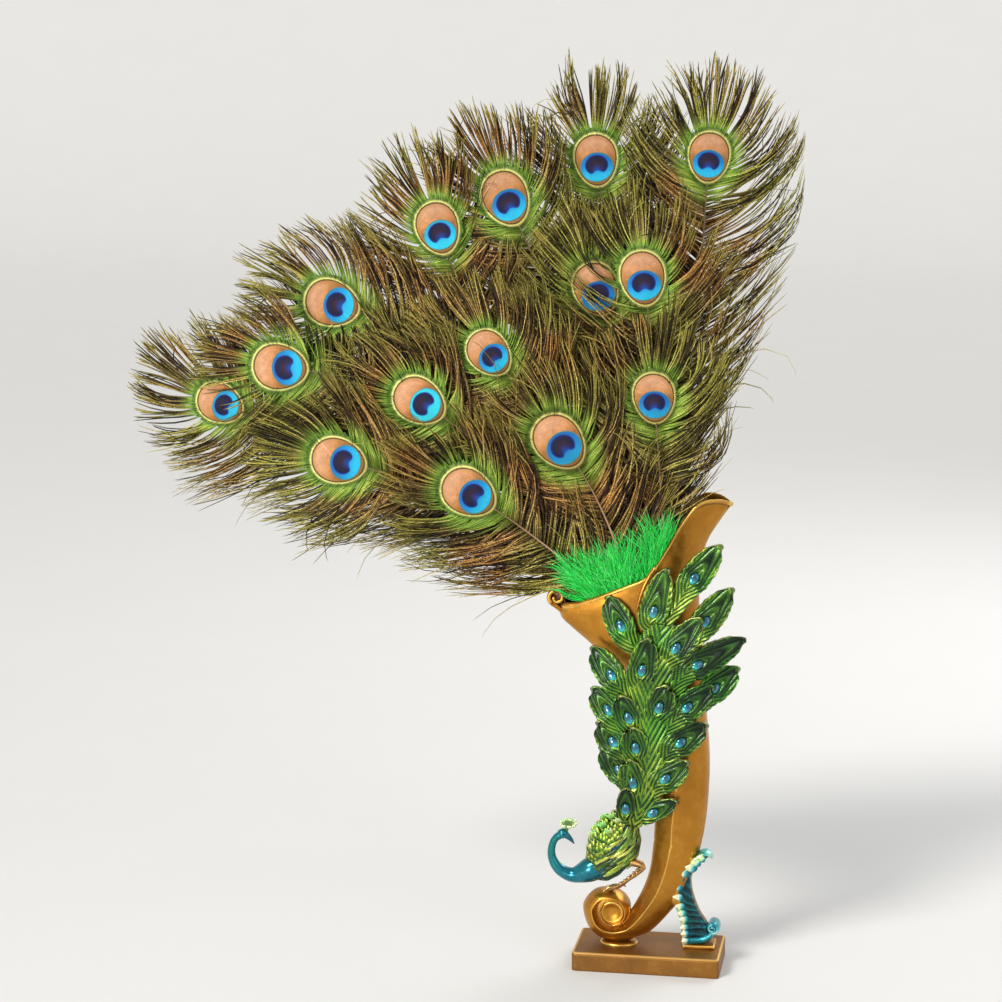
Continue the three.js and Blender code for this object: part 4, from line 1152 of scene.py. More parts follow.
def bird():
    """Body, neck, head and eyes, and the scales and feathers that lie on the body."""
    shells = Shells()
    rng = np.random.default_rng(11)
    turns = np.linspace(0, 360, 40, endpoint=False)
    rings = np.array([[body_point(turn, height)[0] for turn in turns]
                      for height in np.linspace(-RUMP_END, RUMP_END, 34)])
    shells.glaze(rings, 0.42, NECK_FINISH)
    shells.glaze(tube(NECK_ROUTE, NECK_RADII, 80, 24), 0.56, NECK_FINISH)
    shells.glaze(tube(HEAD_ROUTE, HEAD_RADII, 18, 18), 0.58, NECK_FINISH)
    shells.glaze(tube(BEAK_ROUTE, BEAK_RADII, 14, 12), 0.40, NECK_FINISH)
    for side in (-1, 1):
        eye = spline([(-69.6, -9 + side * 2.6, 108.4), (-69.6, -9 + side * 4.5, 108.6)], 6)
        shells.glaze(sweep(eye, EYE_BALL_RADII, EYE_BALL_RADII, 12, 2.0, (0, 0, 1)), 0.04, EYE_FINISH)

    # round scales with free tips towards the tail, on the left, breast and back
    for row, height in enumerate(np.linspace(0.84, -0.86, 16)):
        radius = egg_radius(height)
        count = int(9 + 20 * radius)
        for k in range(count):
            turn = 360 * (k + 0.5 * (row % 2)) / count
            if turn < SCALED_TURNS[0] or turn > SCALED_TURNS[1]:
                continue
            base, out, axis = body_point(turn, height - 0.08)
            size = 6.6 * (0.75 + 0.35 * radius) * rng.uniform(0.85, 1.15)
            heading = axis + rng.normal(0, 0.12, 3) + out * 0.34
            rings = leaf(base - out * 0.4, heading, out, size, size * 0.84, 2.6, -0.6, 8, 10, 0.62)
            shells.glaze(rings, np.linspace(0.06, 0.92, 8) + rng.normal(0, 0.07))

    # long streaked feathers from the flank up to the root of the tail, on both sides
    for face in (-1, 1):
        for height in np.linspace(0.66, -0.72, 20):
            for step, turn in enumerate(BLADE_TURNS):
                if step >= 2 and height < -0.34:
                    continue
                begin = turn + rng.normal(0, 4)
                start = (begin, height + rng.normal(0, 0.02))
                end = (begin + 34 + rng.normal(0, 4), height + 0.56 + rng.normal(0, 0.04))
                if face > 0:
                    start, end = (-start[0], start[1]), (-end[0], end[1])
                rings = body_blade(start, end, rng.uniform(2.6, 3.6), 2.2, 0.1)
                light = rng.choice([0.02, 0.20, 0.42, 0.66]) + np.linspace(0.22, 0.0, BLADE_ROWS)
                shade = 0.18 * np.cos(full_turn(BLADE_COLUMNS))
                shells.glaze(rings, light[:, None] + shade)

    # small three-lobed curls along the back
    for x, y, z in BACK_CURLS:
        for turn in (-0.75, 0.0, 0.75):
            heading = (-0.55 + turn * 0.8, -0.25, 0.8 + turn * 0.35)
            foot = (x + 2, y + 1, z - 2.6)
            lobe = leaf(foot, heading, (-0.3, -0.85, 0.2), 6.6, 3.6, 3.0, 1.2, 9, 12, 0.6)
            shells.glaze(lobe, np.linspace(0.10, 0.9, 9), CREAM_FINISH)
    shells.make("peacock_cast", [SCALES, NECK, TEAL, CREAM_PAINT], ["peacock_bird"])


def crest():
    """Cup of small florets on a stalk."""
    shells = Shells()
    centre = np.array(CREST_CENTRE, float)
    stalk = [(-69, -9, 108), (-67.6, -9, 111.6), centre - (0, 0, 0.8)]
    shells.glaze(tube(stalk, [2.1, 1.4, 2.0], 16, 12), 0.12)
    cup = [centre - (0, 0, 1.4), centre, centre + (0, -0.3, 0.9)]
    shells.glaze(tube(cup, [1.6, 4.4, 3.0], 12, 20), 0.22)
    for angle in 2 * math.pi * np.arange(CREST_FLORETS) / CREST_FLORETS:
        floret = centre + (5.0 * math.cos(angle), 3.6 * math.sin(angle), 0.6 + 1.9 * math.sin(angle))
        for spread in (angle - 0.55, angle, angle + 0.55):
            heading = (math.cos(spread), math.sin(spread) * 0.8, 0.75)
            rings = leaf(floret - (0, 0, 0.9), heading, (0, 0, 1), 3.3, 2.6, 2.3, 0.2, 7, 8, 0.7)
            shells.glaze(rings, np.linspace(0.45, 1.0, 7))
    shells.make("bird_crest_cast", [CREAM_PAINT], ["bird_crest"])


def bird_legs():
    """Both legs, each with a knee, scutes and four toes."""
    shells = Shells()
    for route in BIRD_LEG_ROUTES:
        shells.loft(tube(route, LEG_RADII, 40, 12))
        knee, ankle = np.array(route[1], float), np.array(route[2], float)
        shells.loft(leaf(knee - (2.4, 0, 0), (1, 0, 0.1), (0, -1, 0), 5.2, 4.0, 3.8, 0, 8, 10, 0.8))
        for k in range(5):
            scute = knee + (ankle - knee) * (0.2 + 0.15 * k) - (0.9, 0, 0.9)
            shells.loft(leaf(scute, (0.7, 0, 0.7), (0, -1, 0), 2.6, 3.5, 3.5, 0, 6, 10, 0.9))
        for toe in TOES:
            tip = ankle + toe
            middle = (ankle + tip) / 2 + (0, 0, 1.5)
            shells.loft(tube([ankle, middle, tip], [1.5, 1.3, 0.4], 14, 8))
    shells.make("bird_legs_cast", [BRONZE], ["bird_legs"])


# ---------------------------------------------------------------- cast tail

PLUME_ROWS = 56
PLUME_COLUMNS = 31
BACK_STEP = 3                           # the plain back has a point for every third of the front's
ARC_RADII = (1.5, 2.15, 2.8)            # of the raised arcs round a stone, in stone radii


def stem_at(height):
    """Point of the tail's stem at a height."""
    place = np.clip((height - STEM_LOW) / (STEM_HIGH - STEM_LOW), 0, 1)
    return spline_at(TAIL_STEM, np.array([place]))[0]


def plume_y(x, z):
    """Front surface that the plumes follow: it falls back to both sides of the stem."""
    middle = stem_at(z)
    aside = max(0, abs(x - middle[0]) - TAIL_FRONT)
    return middle[1] - 2.5 + 0.0072 * aside * aside + 0.1 * aside


def plume_frame(stone, tip):
    """Foot on the stem, stone, tip, and axes along, across and out of the plume's face."""
    aside = abs(stone[0] - stem_at((STEM_LOW + STEM_HIGH) / 2)[0])
    foot = stem_at(max(STEM_LOW + 4, stone[1] - PLUME_FOOT_DROP - 0.75 * aside))
    end = np.array([tip[0], plume_y(*tip) - 2, tip[1]])
    middle = np.array([stone[0], plume_y(*stone), stone[1]])
    along = unit(end - middle)
    out = np.array([0.0, -1.0, 0.0])
    out = unit(out - along * np.dot(out, along))
    return foot, middle, end, along, np.cross(along, out), out


def plume_outline(stone, tip, seed):
    """Middle line of a plume, its distance from the stone, half width, and side and normal."""
    foot, middle, end, along, across, out = plume_frame(stone, tip)
    reach = np.linalg.norm(end - middle)
    bend = 1 if tip[0] >= stone[0] else -1
    neck = middle - along * PLUME_NECK
    route = np.array([foot, foot * 0.45 + neck * 0.55 - out * 1.6, neck, middle,
                      middle + along * reach * 0.5, end - along * reach * 0.12,
                      end + across * bend * 1.6 + out * 2.0])
    lengths = np.concatenate([[0], np.cumsum(np.linalg.norm(np.diff(route, axis=0), axis=1))])
    s = np.linspace(0, lengths[-1], PLUME_ROWS)
    line = spline_at(route, np.interp(s, lengths, np.linspace(0, 1, len(route))))
    stem_side = lengths[3]
    half = PLUME_WIDTH / 2 * (SLIM_SHARE if seed < SLIM_PLUMES else 1)
    stations = [(-stem_side, 4.5), (-stem_side * 0.55, half * 0.62), (-PLUME_NECK, half * 0.86),
                (0, half), (reach * 0.42, half * 0.94), (reach * 0.72, half * 0.66),
                (reach * 0.92, half * 0.28), (reach * 1.1, 0.5)]
    from_stone = s - stem_side
    width = np.interp(from_stone, [a for a, _ in stations], [b for _, b in stations])
    width = width * (1 + 0.03 * np.sin(from_stone * 1.1 + seed))
    heading, side, _ = sweep_frames(line, -out)
    normal = np.cross(side, heading)
    normal *= np.sign(np.sum(normal * out, -1, keepdims=True))
    return line, from_stone, width, side, normal


def plume(shells, stone, tip, seed):
    """One leaf-shaped cast plume: raised rim, arcs round its stone and flowing barbs."""
    rng = np.random.default_rng(100 + seed)
    line, from_stone, width, side, normal = plume_outline(stone, tip, seed)
    c = np.linspace(-1, 1, PLUME_COLUMNS)
    x = c[None] * width[:, None]
    y = from_stone[:, None] + 0 * x
    edge = np.abs(c)[None] + 0 * x
    stretched = np.where(y > 0, y / (1 + 0.07 * np.maximum(y, 0)), y)
    around_stone = np.hypot(x / STONE["half_width"], stretched / STONE["half_length"])

    # where each part of the relief stands, from 0 to 1
    upper = smoothstep(-6, 3, y)
    rim = np.exp(-((edge - 0.91) / 0.07) ** 2) * smoothstep(-8, 8, y)
    arcs = np.zeros_like(x)
    for radius in ARC_RADII:
        arcs += np.exp(-((around_stone - radius) / 0.17) ** 2) * upper * (edge < 0.84)
    flow = 2.3 * (np.abs(x) * 0.90 - y * 0.43) + rng.uniform(0, 6)
    comb = 0.5 + 0.5 * np.sin(flow + 0.6 * np.sin(y * 0.35 + seed))
    free = 1 - upper * smoothstep(3.2, 2.6, around_stone)
    shaft = np.exp(-(x / 1.1) ** 2) * smoothstep(-6, -10, y)
    seat = np.exp(-((around_stone - 1.14) / 0.12) ** 2)
    flank = 0.35 + 0.65 * smoothstep(-16, -5, y)

    # the front is lifted by its relief, and the back is plain
    relief = 1.4 * rim + 1.0 * arcs + 0.6 * shaft + 0.5 * seat
    relief = relief + 1.7 * comb * free * (1 - rim) * flank
    crown = 1.4 * (1 - edge**2) * smoothstep(-12, -4, y)
    flat = smoothstep(1.25, 1.0, around_stone)
    cup = 1.8 * edge**2 * smoothstep(2, 16, y)
    inside = edge < 0.999
    lift = (PLUME_THICKNESS / 2 + (relief + crown) * (1 - flat) + cup) * inside
    hang = (-PLUME_THICKNESS / 2 + cup) * inside
    back_at = np.arange(PLUME_COLUMNS - 2, 0, -BACK_STEP)
    line, side, normal = line[:, None], side[:, None], normal[:, None]
    front = line + side * x[..., None] + normal * lift[..., None]
    back = line + side * x[:, back_at, None] + normal * hang[:, back_at, None]

    # height for the glaze, paler on what is raised: the comb's ridges, the arcs and the rim take pale
    # colours as painted highlight, the grooves dark ones as painted shade
    lower = smoothstep(0, -16, y)
    height = 0.10 + 0.46 * comb * free + 0.30 * lower * comb - 0.08 * upper
    # painted highlight along the rim, brighter in some stretches than in others
    wear_and_highlight = 0.62 + 0.38 * np.sin(y * 0.42 + np.sign(x) * 1.2 + seed * 1.7)
    height = height + 0.56 * rim * wear_and_highlight + 0.40 * arcs + 0.50 * seat
    face = pair(np.clip(height, 0, 1.05), rng.normal(0, 0.05), x)
    rear = level_map(back, 0.25)
    shells.loft(np.concatenate([front, back], 1), relief=np.concatenate([face, rear], 1))


def tail_train():
    """Stem of the tail, and the plumes from the highest to the lowest."""
    shells = Shells()
    rows, columns, power = 130, 84, 2.4
    stem = spline(TAIL_STEM, rows)
    width = np.interp(np.linspace(0, 1, rows), [0, 0.12, 0.4, 0.8, 1], [6, 9, 15, 20, 12])
    depth = np.interp(width, [6, 20], [5.0, 6.0])
    rings = sweep(stem + (0, 3.0, 0), width, depth, columns, power)
    angle = full_turn(columns)
    aside = np.abs(sharpen(np.cos(angle), power))[None] * width[:, None]
    comb = 0.5 + 0.5 * np.sin(np.arange(rows)[:, None] * 0.95 - aside * 1.5)
    rings[..., 1] -= (0.4 + comb * 1.3) * (np.sin(angle)[None] < 0)
    # the comb's raised ridges take pale colours as painted highlight, its grooves dark ones as painted
    # shade
    shells.glaze(rings, 0.16 + 0.58 * comb)
    for k in np.argsort([-stone[1] for stone, _ in TAIL_PLUMES]):
        plume(shells, *TAIL_PLUMES[k], int(k))
    shells.make("tail_train_cast", [TAIL], ["tail_train"])


# Section of a stone: shares of its half sizes and of its rise. It is a little wider than its seat.
STONE_PROFILE = [
    (0.96, -0.3), (1.0, 0.0), (1.0, 0.25), (0.95, 0.52), (0.84, 0.78), (0.66, 0.98), (0.42, 1.1),
    (0.16, 1.16),
]
STONE_OVERLAP = 1.08


def stones():
    """Polished oval cabochons, one piece each."""
    angle = full_turn(28)
    for k, (stone, tip) in enumerate(TAIL_PLUMES):
        _, middle, _, along, across, out = plume_frame(stone, tip)
        base = middle + out * (PLUME_THICKNESS / 2 + STONE["gap"])
        rings = []
        maps = []
        for share, rise in STONE_PROFILE:
            a, b = np.cos(angle) * share, np.sin(angle) * share
            rings.append(base + np.outer(a * STONE["half_width"] * STONE_OVERLAP, across)
                         + np.outer(b * STONE["half_length"] * STONE_OVERLAP, along)
                         + out * rise * STONE["rise"])
            maps.append(np.stack([a, b], -1))
        shells = Shells()
        shells.loft(rings, relief=np.array(maps))
        shells.make(f"cabochon_{k + 1:02d}", [STONE_BLUE], [f"tail_gem_{k + 1:02d}"])


# ---------------------------------------------------------------- natural feathers


def layer_y(share, x, z):
    """Depth of a feather's layer, from share -1 in front to 1 at the back: the layers stand
    further apart away from the mouth."""
    left = np.minimum(x - SPREAD_START[0], 0)
    above = np.maximum(z - SPREAD_START[1], 0)
    return share * (LAYER_DEPTH + LAYER_SPREAD * np.hypot(left, above))


def layer_share(k):
    """Share of the layers' depth for feather k, counted from the front."""
    return 2 * k / (len(FEATHERS) - 1) - 1


SHAFT_STEPS = 200
QUILL_STEPS = 12
BEYOND_EYE = 14                         # how far the shaft's line runs on past the eye's centre


class Shaft:
    """Middle line of a feather in the XZ plane, measured back from the eye's centre."""

    def __init__(self, spec, eye_size):
        mouth, lean, self.eye, eye_lean, quill_depth = spec
        self.eye_size = eye_size
        start, eye = np.array(mouth, float), np.array(self.eye, float)
        handle = np.linalg.norm(eye - start) * SHAFT_HANDLE
        upward = lean_vector(lean)
        self.tipward = lean_vector(eye_lean)
        self.sideward = np.array([self.tipward[1], -self.tipward[0]])
        t = np.linspace(0, 1, SHAFT_STEPS)[:, None]
        b = start + upward * handle
        c = eye - self.tipward * handle
        line = start * (1 - t)**3 + 3 * b * t * (1 - t)**2 + 3 * c * t * t * (1 - t) + eye * t**3
        quill = start - upward * np.linspace(quill_depth, 4, QUILL_STEPS)[:, None]
        beyond = eye + self.tipward * np.linspace(2, BEYOND_EYE, 6)[:, None]
        self.line = np.vstack([quill, line, beyond])
        steps = np.linalg.norm(np.diff(self.line, axis=0), axis=1)
        total = np.concatenate([[0], np.cumsum(steps)])
        eye_total = total[QUILL_STEPS + SHAFT_STEPS - 1]
        self.height = total - eye_total
        self.length = eye_total - total[QUILL_STEPS]
        self.heading = unit(np.gradient(self.line, axis=0))

    def at(self, height):
        """Points and headings at heights above the eye's centre (minus is below)."""
        point = np.stack([np.interp(height, self.height, self.line[:, k]) for k in (0, 1)], -1)
        heading = np.stack([np.interp(height, self.height, self.heading[:, k]) for k in (0, 1)], -1)
        return point, unit(heading)

    def eye_place(self, x, z):
        """Place from the eye's centre in eye sizes: across and towards the tip."""
        dx, dz = (x - self.eye[0]) / self.eye_size, (z - self.eye[1]) / self.eye_size
        return (dx * self.sideward[0] + dz * self.sideward[1],
                dx * self.tipward[0] + dz * self.tipward[1])

    def ring_radius(self, x, z):
        """Distance from the eye's centre, in radii of its outer ring."""
        u, v = self.eye_place(x, z)
        wide = EYE_HALF_WIDTH * (1 + EYE_TAPER * v)
        return np.hypot(u / np.maximum(wide, 4), v / EYE_HALF_LENGTH)


SHAFTS = [Shaft(spec, size) for spec, size in zip(FEATHERS, EYE_SIZES)]

# Barbs by the height of their root over the eye's centre: angle from the shaft at the
# root and at the tip of the barb, in degrees, and length.
BARB_TABLE = [
    (12, 4, 2, 66), (10, 16, 5, 67), (4, 38, 12, 70), (-3, 56, 18, 73), (-10, 70, 24, 77),
    (-18, 78, 29, 82), (-28, 76, 31, 88), (-45, 68, 30, 93), (-70, 60, 29, 96),
    (-120, 52, 29, 92), (-200, 44, 26, 78), (-280, 30, 17, 60), (-340, 20, 11, 50),
]
BARB_PLACES = np.array([0, 0.14, 0.30, 0.47, 0.64, 0.81, 0.95, 1])
# Width of a barb along its length, and what is added to the blunt barbs at the eye.
BARB_WIDTHS = ([0, 0.14, 0.5, 0.85, 1], [1.0, 1.45, 1.05, 0.67, 0.43])
BLUNT_WIDTHS = ([0, 0.25, 0.5, 0.9, 1], [0, 0, 0.3, 0.45, 0.2])
BARB_THICKNESS = 0.45                   # in widths

# Feathers on the outside of the bunch, and the side on which their barbs hang free.
FREE_SIDES = {0: -1, 3: -1, 7: -1, 2: 1, 8: 1, 13: 1}
DROOP = 0.24                            # radians that a level barb's tip bends down
CROWN_BARBS = 124                       # barbs of one side that form the eye and its fan
CROWN_HIGH = 12                         # the crown's highest root, over the eye's centre
CROWN_LOW = -30
CROWN_POWER = 1.45                      # its roots stand closer together at the top
THROAT_LOW = -56                        # down to here the barbs stand closer together
THROAT_SPACING = 0.65
BARB_SPACING = 1.0
ROOT_JITTER = 0.42
STRAY_SHARE = 0.03                      # of the barbs have left their clump
SEEN_THROUGH = (7, 9)                   # eyes that loose barbs of nearer feathers cross
SEEN_SHARE = 0.16                       # of those barbs stay in front of them
PLAIN_SHARE = 0.006                     # stay in front of any other eye

MOUTH_SPAN = (-74, 62)                  # over x, where strands stand inside the rim
LOBE_WINDOW = (15, 22, 64, 72)          # over x, where the pointed lip stands
CURL_WINDOW = (-114, -90, -70, -62)     # and where the rolled end does
CURL_TOP = 314.0
STRAND_ROOM = 5                         # between the rim and the strands inside it
LEAST_DEPTH = 1.5                       # left to them where the rim is narrower than that
EYE_MARGIN = 1.2                        # in ring radii, where a barb counts as crossing an eye
BEHIND_EYE = 3.0                        # how far behind the eye's layer it then passes
# Side of the fan, where its tips begin to bend in, and the room left beyond that.
FAN_LIMITS = [(1, 98, 15), (-1, 422, 17)]

SHAFT_END = 8                           # above the eye's centre
# Radius of the shaft over its height from the eye's centre.
SHAFT_RADII = ([-350, -60, -22, 8], [1.25, 0.75, 0.5, 0.3])
PLATE_JAG = 0.04                        # unevenness of the eye plate's edge, in radii
PLATE_RIB = 0.16                        # half height of its fine ribs
PLATE_DISH = 1.2                        # how far its middle stands out
PLATE_THICKNESS = 0.5


def rim_line(x):
    """Height and half depth of the horn's front rim over x."""
    rim = np.array(FRONT_RIM[::-1])
    return np.interp(x, rim[:, 0], rim[:, 2]), np.interp(x, rim[:, 0], -rim[:, 1])


def keep_in_mouth(points):
    """Moves strand points clear of the horn's wall, its lobe and its rolled end."""
    x, y, z = points[..., 0], points[..., 1], points[..., 2]
    high, deep = rim_line(x)
    low = (z < high + 2) & (x > MOUTH_SPAN[0]) & (x < MOUTH_SPAN[1])
    room = np.maximum(deep - STRAND_ROOM, LEAST_DEPTH)
    points[..., 1] = np.where(low, np.clip(y, -room, room), y)
    z = np.maximum(z, (high + 2.5) * window(LOBE_WINDOW, x))
    points[..., 2] = np.maximum(z, CURL_TOP * window(CURL_WINDOW, x))
    return points


def keep_in_reach(points):
    """Bends in the tips that would reach past the fan's two sides."""
    for sign, start, room in FAN_LIMITS:
        points[..., 0] = sign * soft_limit(sign * points[..., 0], start, room)
    return points


def strands(shells, path, width, thickness, twist, **maps):
    """Closed three-sided strips along many paths (strand, step, xyz), pointed at the tip."""
    count, steps = path.shape[:2]
    along = unit(np.gradient(path, axis=1))
    side = unit(np.cross(along, (0.0, -1.0, 0.0)))
    normal = np.cross(side, along)
    cos, sin = np.cos(twist)[..., None], np.sin(twist)[..., None]
    side, normal = side * cos + normal * sin, normal * cos - side * sin
    w, t = width[..., None] / 2, thickness[..., None]
    body = np.stack([path - side * w, path + side * w, path + normal * t], 2)[:, :-1]
    rings = steps - 1
    per = rings * 3 + 1
    points = np.concatenate([body.reshape(count, rings * 3, 3), path[:, -1:]], 1)
    last = (rings - 1) * 3
    tip = np.array([[last, last + 1, per - 1], [last + 1, last + 2, per - 1],
                    [last + 2, last, per - 1], [0, 2, 1]])
    base = (np.arange(count) * per)[:, None, None]
    quads = (grid_faces(rings, 3)[None] + base).reshape(-1, 4)
    tris = (tip[None] + base).reshape(-1, 3)
    full = {}
    for name, values in maps.items():
        ringed = np.repeat(values[:, :-1, None], 3, 2).reshape(count, rings * 3, 2)
        full[name] = np.concatenate([ringed, values[:, -1:]], 1)
    shells.add(points, [quads, tris], **full)


def barb_roots(length, rng):
    """Heights of the barbs' roots on one side of a shaft."""
    fall = np.linspace(0, 1, CROWN_BARBS) ** CROWN_POWER
    crown = CROWN_HIGH + (CROWN_LOW - CROWN_HIGH) * fall
    throat = np.arange(CROWN_LOW - 0.5, THROAT_LOW, -THROAT_SPACING)
    rest = np.arange(THROAT_LOW, -length - 6, -BARB_SPACING)
    roots = np.concatenate([crown, throat, rest])
    return roots + rng.normal(0, ROOT_JITTER, len(roots))


def clumps(count, least, most, rng):
    """Clump number of each barb, for clumps of least to most neighbours."""
    return np.repeat(np.arange(count), rng.integers(least, most + 1, count))[:count]


def clump_mean(values, clump):
    """Mean of the values in each barb's clump."""
    return (np.bincount(clump, values) / np.bincount(clump))[clump]


def per_clump(clump, spread, rng):
    """A normal random number that all barbs of a clump share."""
    return rng.normal(0, 1, clump.max() + 1)[clump] * spread


def walk(course, step):
    """How far steps along a course (radians from upright) have led, in x and in z."""
    middle = (course[:, 1:] + course[:, :-1]) / 2
    before = ((0, 0), (1, 0))
    dx = np.pad(np.cumsum(np.sin(middle) * step, 1), before)
    dz = np.pad(np.cumsum(np.cos(middle) * step, 1), before)
    return dx, dz


class BarbRow:
    """The barbs on one side of a feather. Neighbours cling together in small and in large
    clumps. near is 1 at the eye, loose is 1 well below it, and free is 1 on a free side."""

    def __init__(self, shaft, share, side, free, rng):
        self.shaft = shaft
        self.share = share
        self.side = side
        self.free = free
        self.rng = rng
        self.root = barb_roots(shaft.length, rng)
        self.count = len(self.root)
        self.small = clumps(self.count, 3, 7, rng)
        self.large = clumps(self.count, 10, 20, rng)
        self.near = smoothstep(-42, -12, self.root)
        self.loose = smoothstep(-25, -60, self.root)
        self.point, self.heading = shaft.at(self.root)

    def from_table(self, column):
        """One column of BARB_TABLE at each root."""
        table = np.array(BARB_TABLE, float)[::-1]
        return np.interp(self.root, table[:, 0], table[:, column])

    def angles(self):
        """Angle from the shaft at each barb's root and at its tip, in degrees."""
        rng, small, large, near = self.rng, self.small, self.large, self.near
        finish = self.from_table(2)
        fused = clump_mean(finish, large)
        finish = fused + (finish - fused) * (1 - 1.6 * near) + per_clump(large, 2.0 + 2.0 * near, rng)
        fused = clump_mean(finish, small)
        finish = fused + (finish - fused) * 0.4 + per_clump(small, 3.2 - 1.6 * near, rng)
        finish = finish + rng.normal(0, 1.5, self.count)
        finish = finish + self.free * self.loose * per_clump(large, 5.0, rng)
        jitter = rng.normal(0, 2.5, self.count) + per_clump(small, 2.0, rng)
        return self.from_table(1) + jitter * (1 - 0.5 * near), finish

    def lengths(self):
        """Length of each barb; those that would cover the horn's lobe are shorter."""
        length = self.from_table(3) * (1 + 0.10 * self.free * self.loose)
        if self.side > 0:
            beside_lobe = np.interp(self.point[:, 1], [340, 440], [0.42, 1.0])
            length = length * np.where(self.point[:, 0] > -12, beside_lobe, 1.0)
        length = length * (1 + per_clump(self.large, 0.055, self.rng))
        length = length * (1 + per_clump(self.small, 0.06, self.rng))
        return length * self.rng.uniform(0.90, 1.05, self.count)

    def courses(self, start, finish, stray):
        """Heading along each barb, in radians from upright."""
        t = BARB_PLACES[None]
        angle = start[:, None] + (finish - start)[:, None] * smoothstep(0, 1, t) ** 0.8
        wild = self.rng.normal(0, 75, self.count)
        hook = np.where(stray, wild, self.rng.normal(0, 8, self.count))
        sway = per_clump(self.small, 7.0, self.rng) * (1 - 0.6 * self.near)
        sway = sway + per_clump(self.large, 7.0, self.rng)
        angle = angle + hook[:, None] * t**2.4 + sway[:, None] * np.sin(np.pi * 1.6 * t)
        course = np.arctan2(self.heading[:, 0], self.heading[:, 1])[:, None]
        course = course + self.side * np.radians(angle)
        return course + DROOP * self.loose[:, None] * t**2 * np.sin(course)

    def gather(self):
        """How far along the shaft each barb leans towards the middle of its clumps."""
        t = BARB_PLACES[None]
        late = 1.2 + 1.2 * self.near[:, None]
        to_small = (clump_mean(self.root, self.small) - self.root)[:, None]
        to_large = (clump_mean(self.root, self.large) - self.root)[:, None]
        gather = to_small * (0.72 + 0.12 * self.free) * t**late
        return gather + to_large * (0.15 + 0.35 * self.free) * t**1.6 * self.loose[:, None]

    def waves(self, stray):
        """How far each barb's tip stands behind its feather's layer (minus is in front)."""
        wave = per_clump(self.small, 1.7, self.rng) + per_clump(self.large, 1.2, self.rng)
        wave = wave + self.rng.normal(0, 0.6, self.count)
        wave = np.where(stray, wave + self.rng.normal(0, 5, self.count), wave)
        return np.clip(wave, -8, 8)

    def paths(self):
        """Paths of the barbs, and their lengths."""
        start, finish = self.angles()
        length = self.lengths()
        stray = self.rng.random(self.count) < STRAY_SHARE
        course = self.courses(start, finish, stray)
        dx, dz = walk(course, length[:, None] * np.diff(BARB_PLACES)[None])
        gather = self.gather()
        x = self.point[:, :1] + dx + gather * self.heading[:, :1]
        z = self.point[:, 1:] + dz + gather * self.heading[:, 1:]
        wave = self.waves(stray)
        y = layer_y(self.share, x, z) + wave[:, None] * BARB_PLACES[None] ** 1.4
        ring = self.shaft.ring_radius(x, z)
        y = y + 1.5 * smoothstep(1.12, 0.94, ring)
        y = y - 0.6 * smoothstep(1.03, 1.14, ring) * self.near[:, None]
        return np.stack([x, y, z], -1), length


def pass_behind_eyes(path, own, rng):
    """Barbs that would cross another feather's eye slip behind it, all but a few."""
    steps = np.arange(path.shape[1])[None]
    for other in range(own + 1, len(SHAFTS)):
        shaft = SHAFTS[other]
        inside = shaft.ring_radius(path[..., 0], path[..., 2]) < EYE_MARGIN
        target = layer_y(layer_share(other), path[..., 0], path[..., 2]) + BEHIND_EYE
        need = np.where(inside, target - path[..., 1], 0).max(1)
        kept = SEEN_SHARE if other in SEEN_THROUGH else PLAIN_SHARE
        crossed = (need > 0) & (rng.random(len(path)) > kept)
        first = np.where(inside, steps, path.shape[1]).min(1)
        ease = smoothstep(0, 1, steps / np.maximum(first, 1)[:, None])
        path[..., 1] += np.where(crossed, need, 0)[:, None] * ease
    return path


def eye_plate(shells, shaft, share, rng, tone):
    """Merged, finely ribbed middle of the eye."""
    columns, rows = 180, 12
    turn = full_turn(columns)
    jag = 1 + PLATE_JAG * rng.standard_normal(columns)
    radius = np.linspace(0.02, PLATE_REACH, rows)[:, None]
    reach = radius * np.where(radius > 1.0, jag[None], 1)
    v = EYE_HALF_LENGTH * reach * np.sin(turn)[None]
    u = EYE_HALF_WIDTH * reach * np.cos(turn)[None] * (1 + EYE_TAPER * v)
    ribs = PLATE_RIB * np.where(np.arange(columns) % 2, 1.0, -1.0)[None]
    ribs = ribs * smoothstep(0.1, 0.5, radius)
    dish = PLATE_DISH * (1 - (radius / 0.9) ** 2)
    x = shaft.eye[0] + (u * shaft.sideward[0] + v * shaft.tipward[0]) * shaft.eye_size
    z = shaft.eye[1] + (u * shaft.sideward[1] + v * shaft.tipward[1]) * shaft.eye_size
    y = layer_y(share, x, z) - PLATE_THICKNESS - dish - ribs
    order = [*range(rows), rows - 1, 4]  # its front from the middle out, then its back
    rings = np.stack([x, y, z], -1)[order]
    rings[rows:, :, 1] += PLATE_THICKNESS
    u, v = u[order], v[order]
    chance = 0.3 + 0.4 * rng.random(columns)[None]
    shells.loft(rings, eye=pair(u, v, u) * MAP_UNIT, strand=pair(radius[order] * 0.2, chance, u),
                tone=pair(tone, 0.3, u))


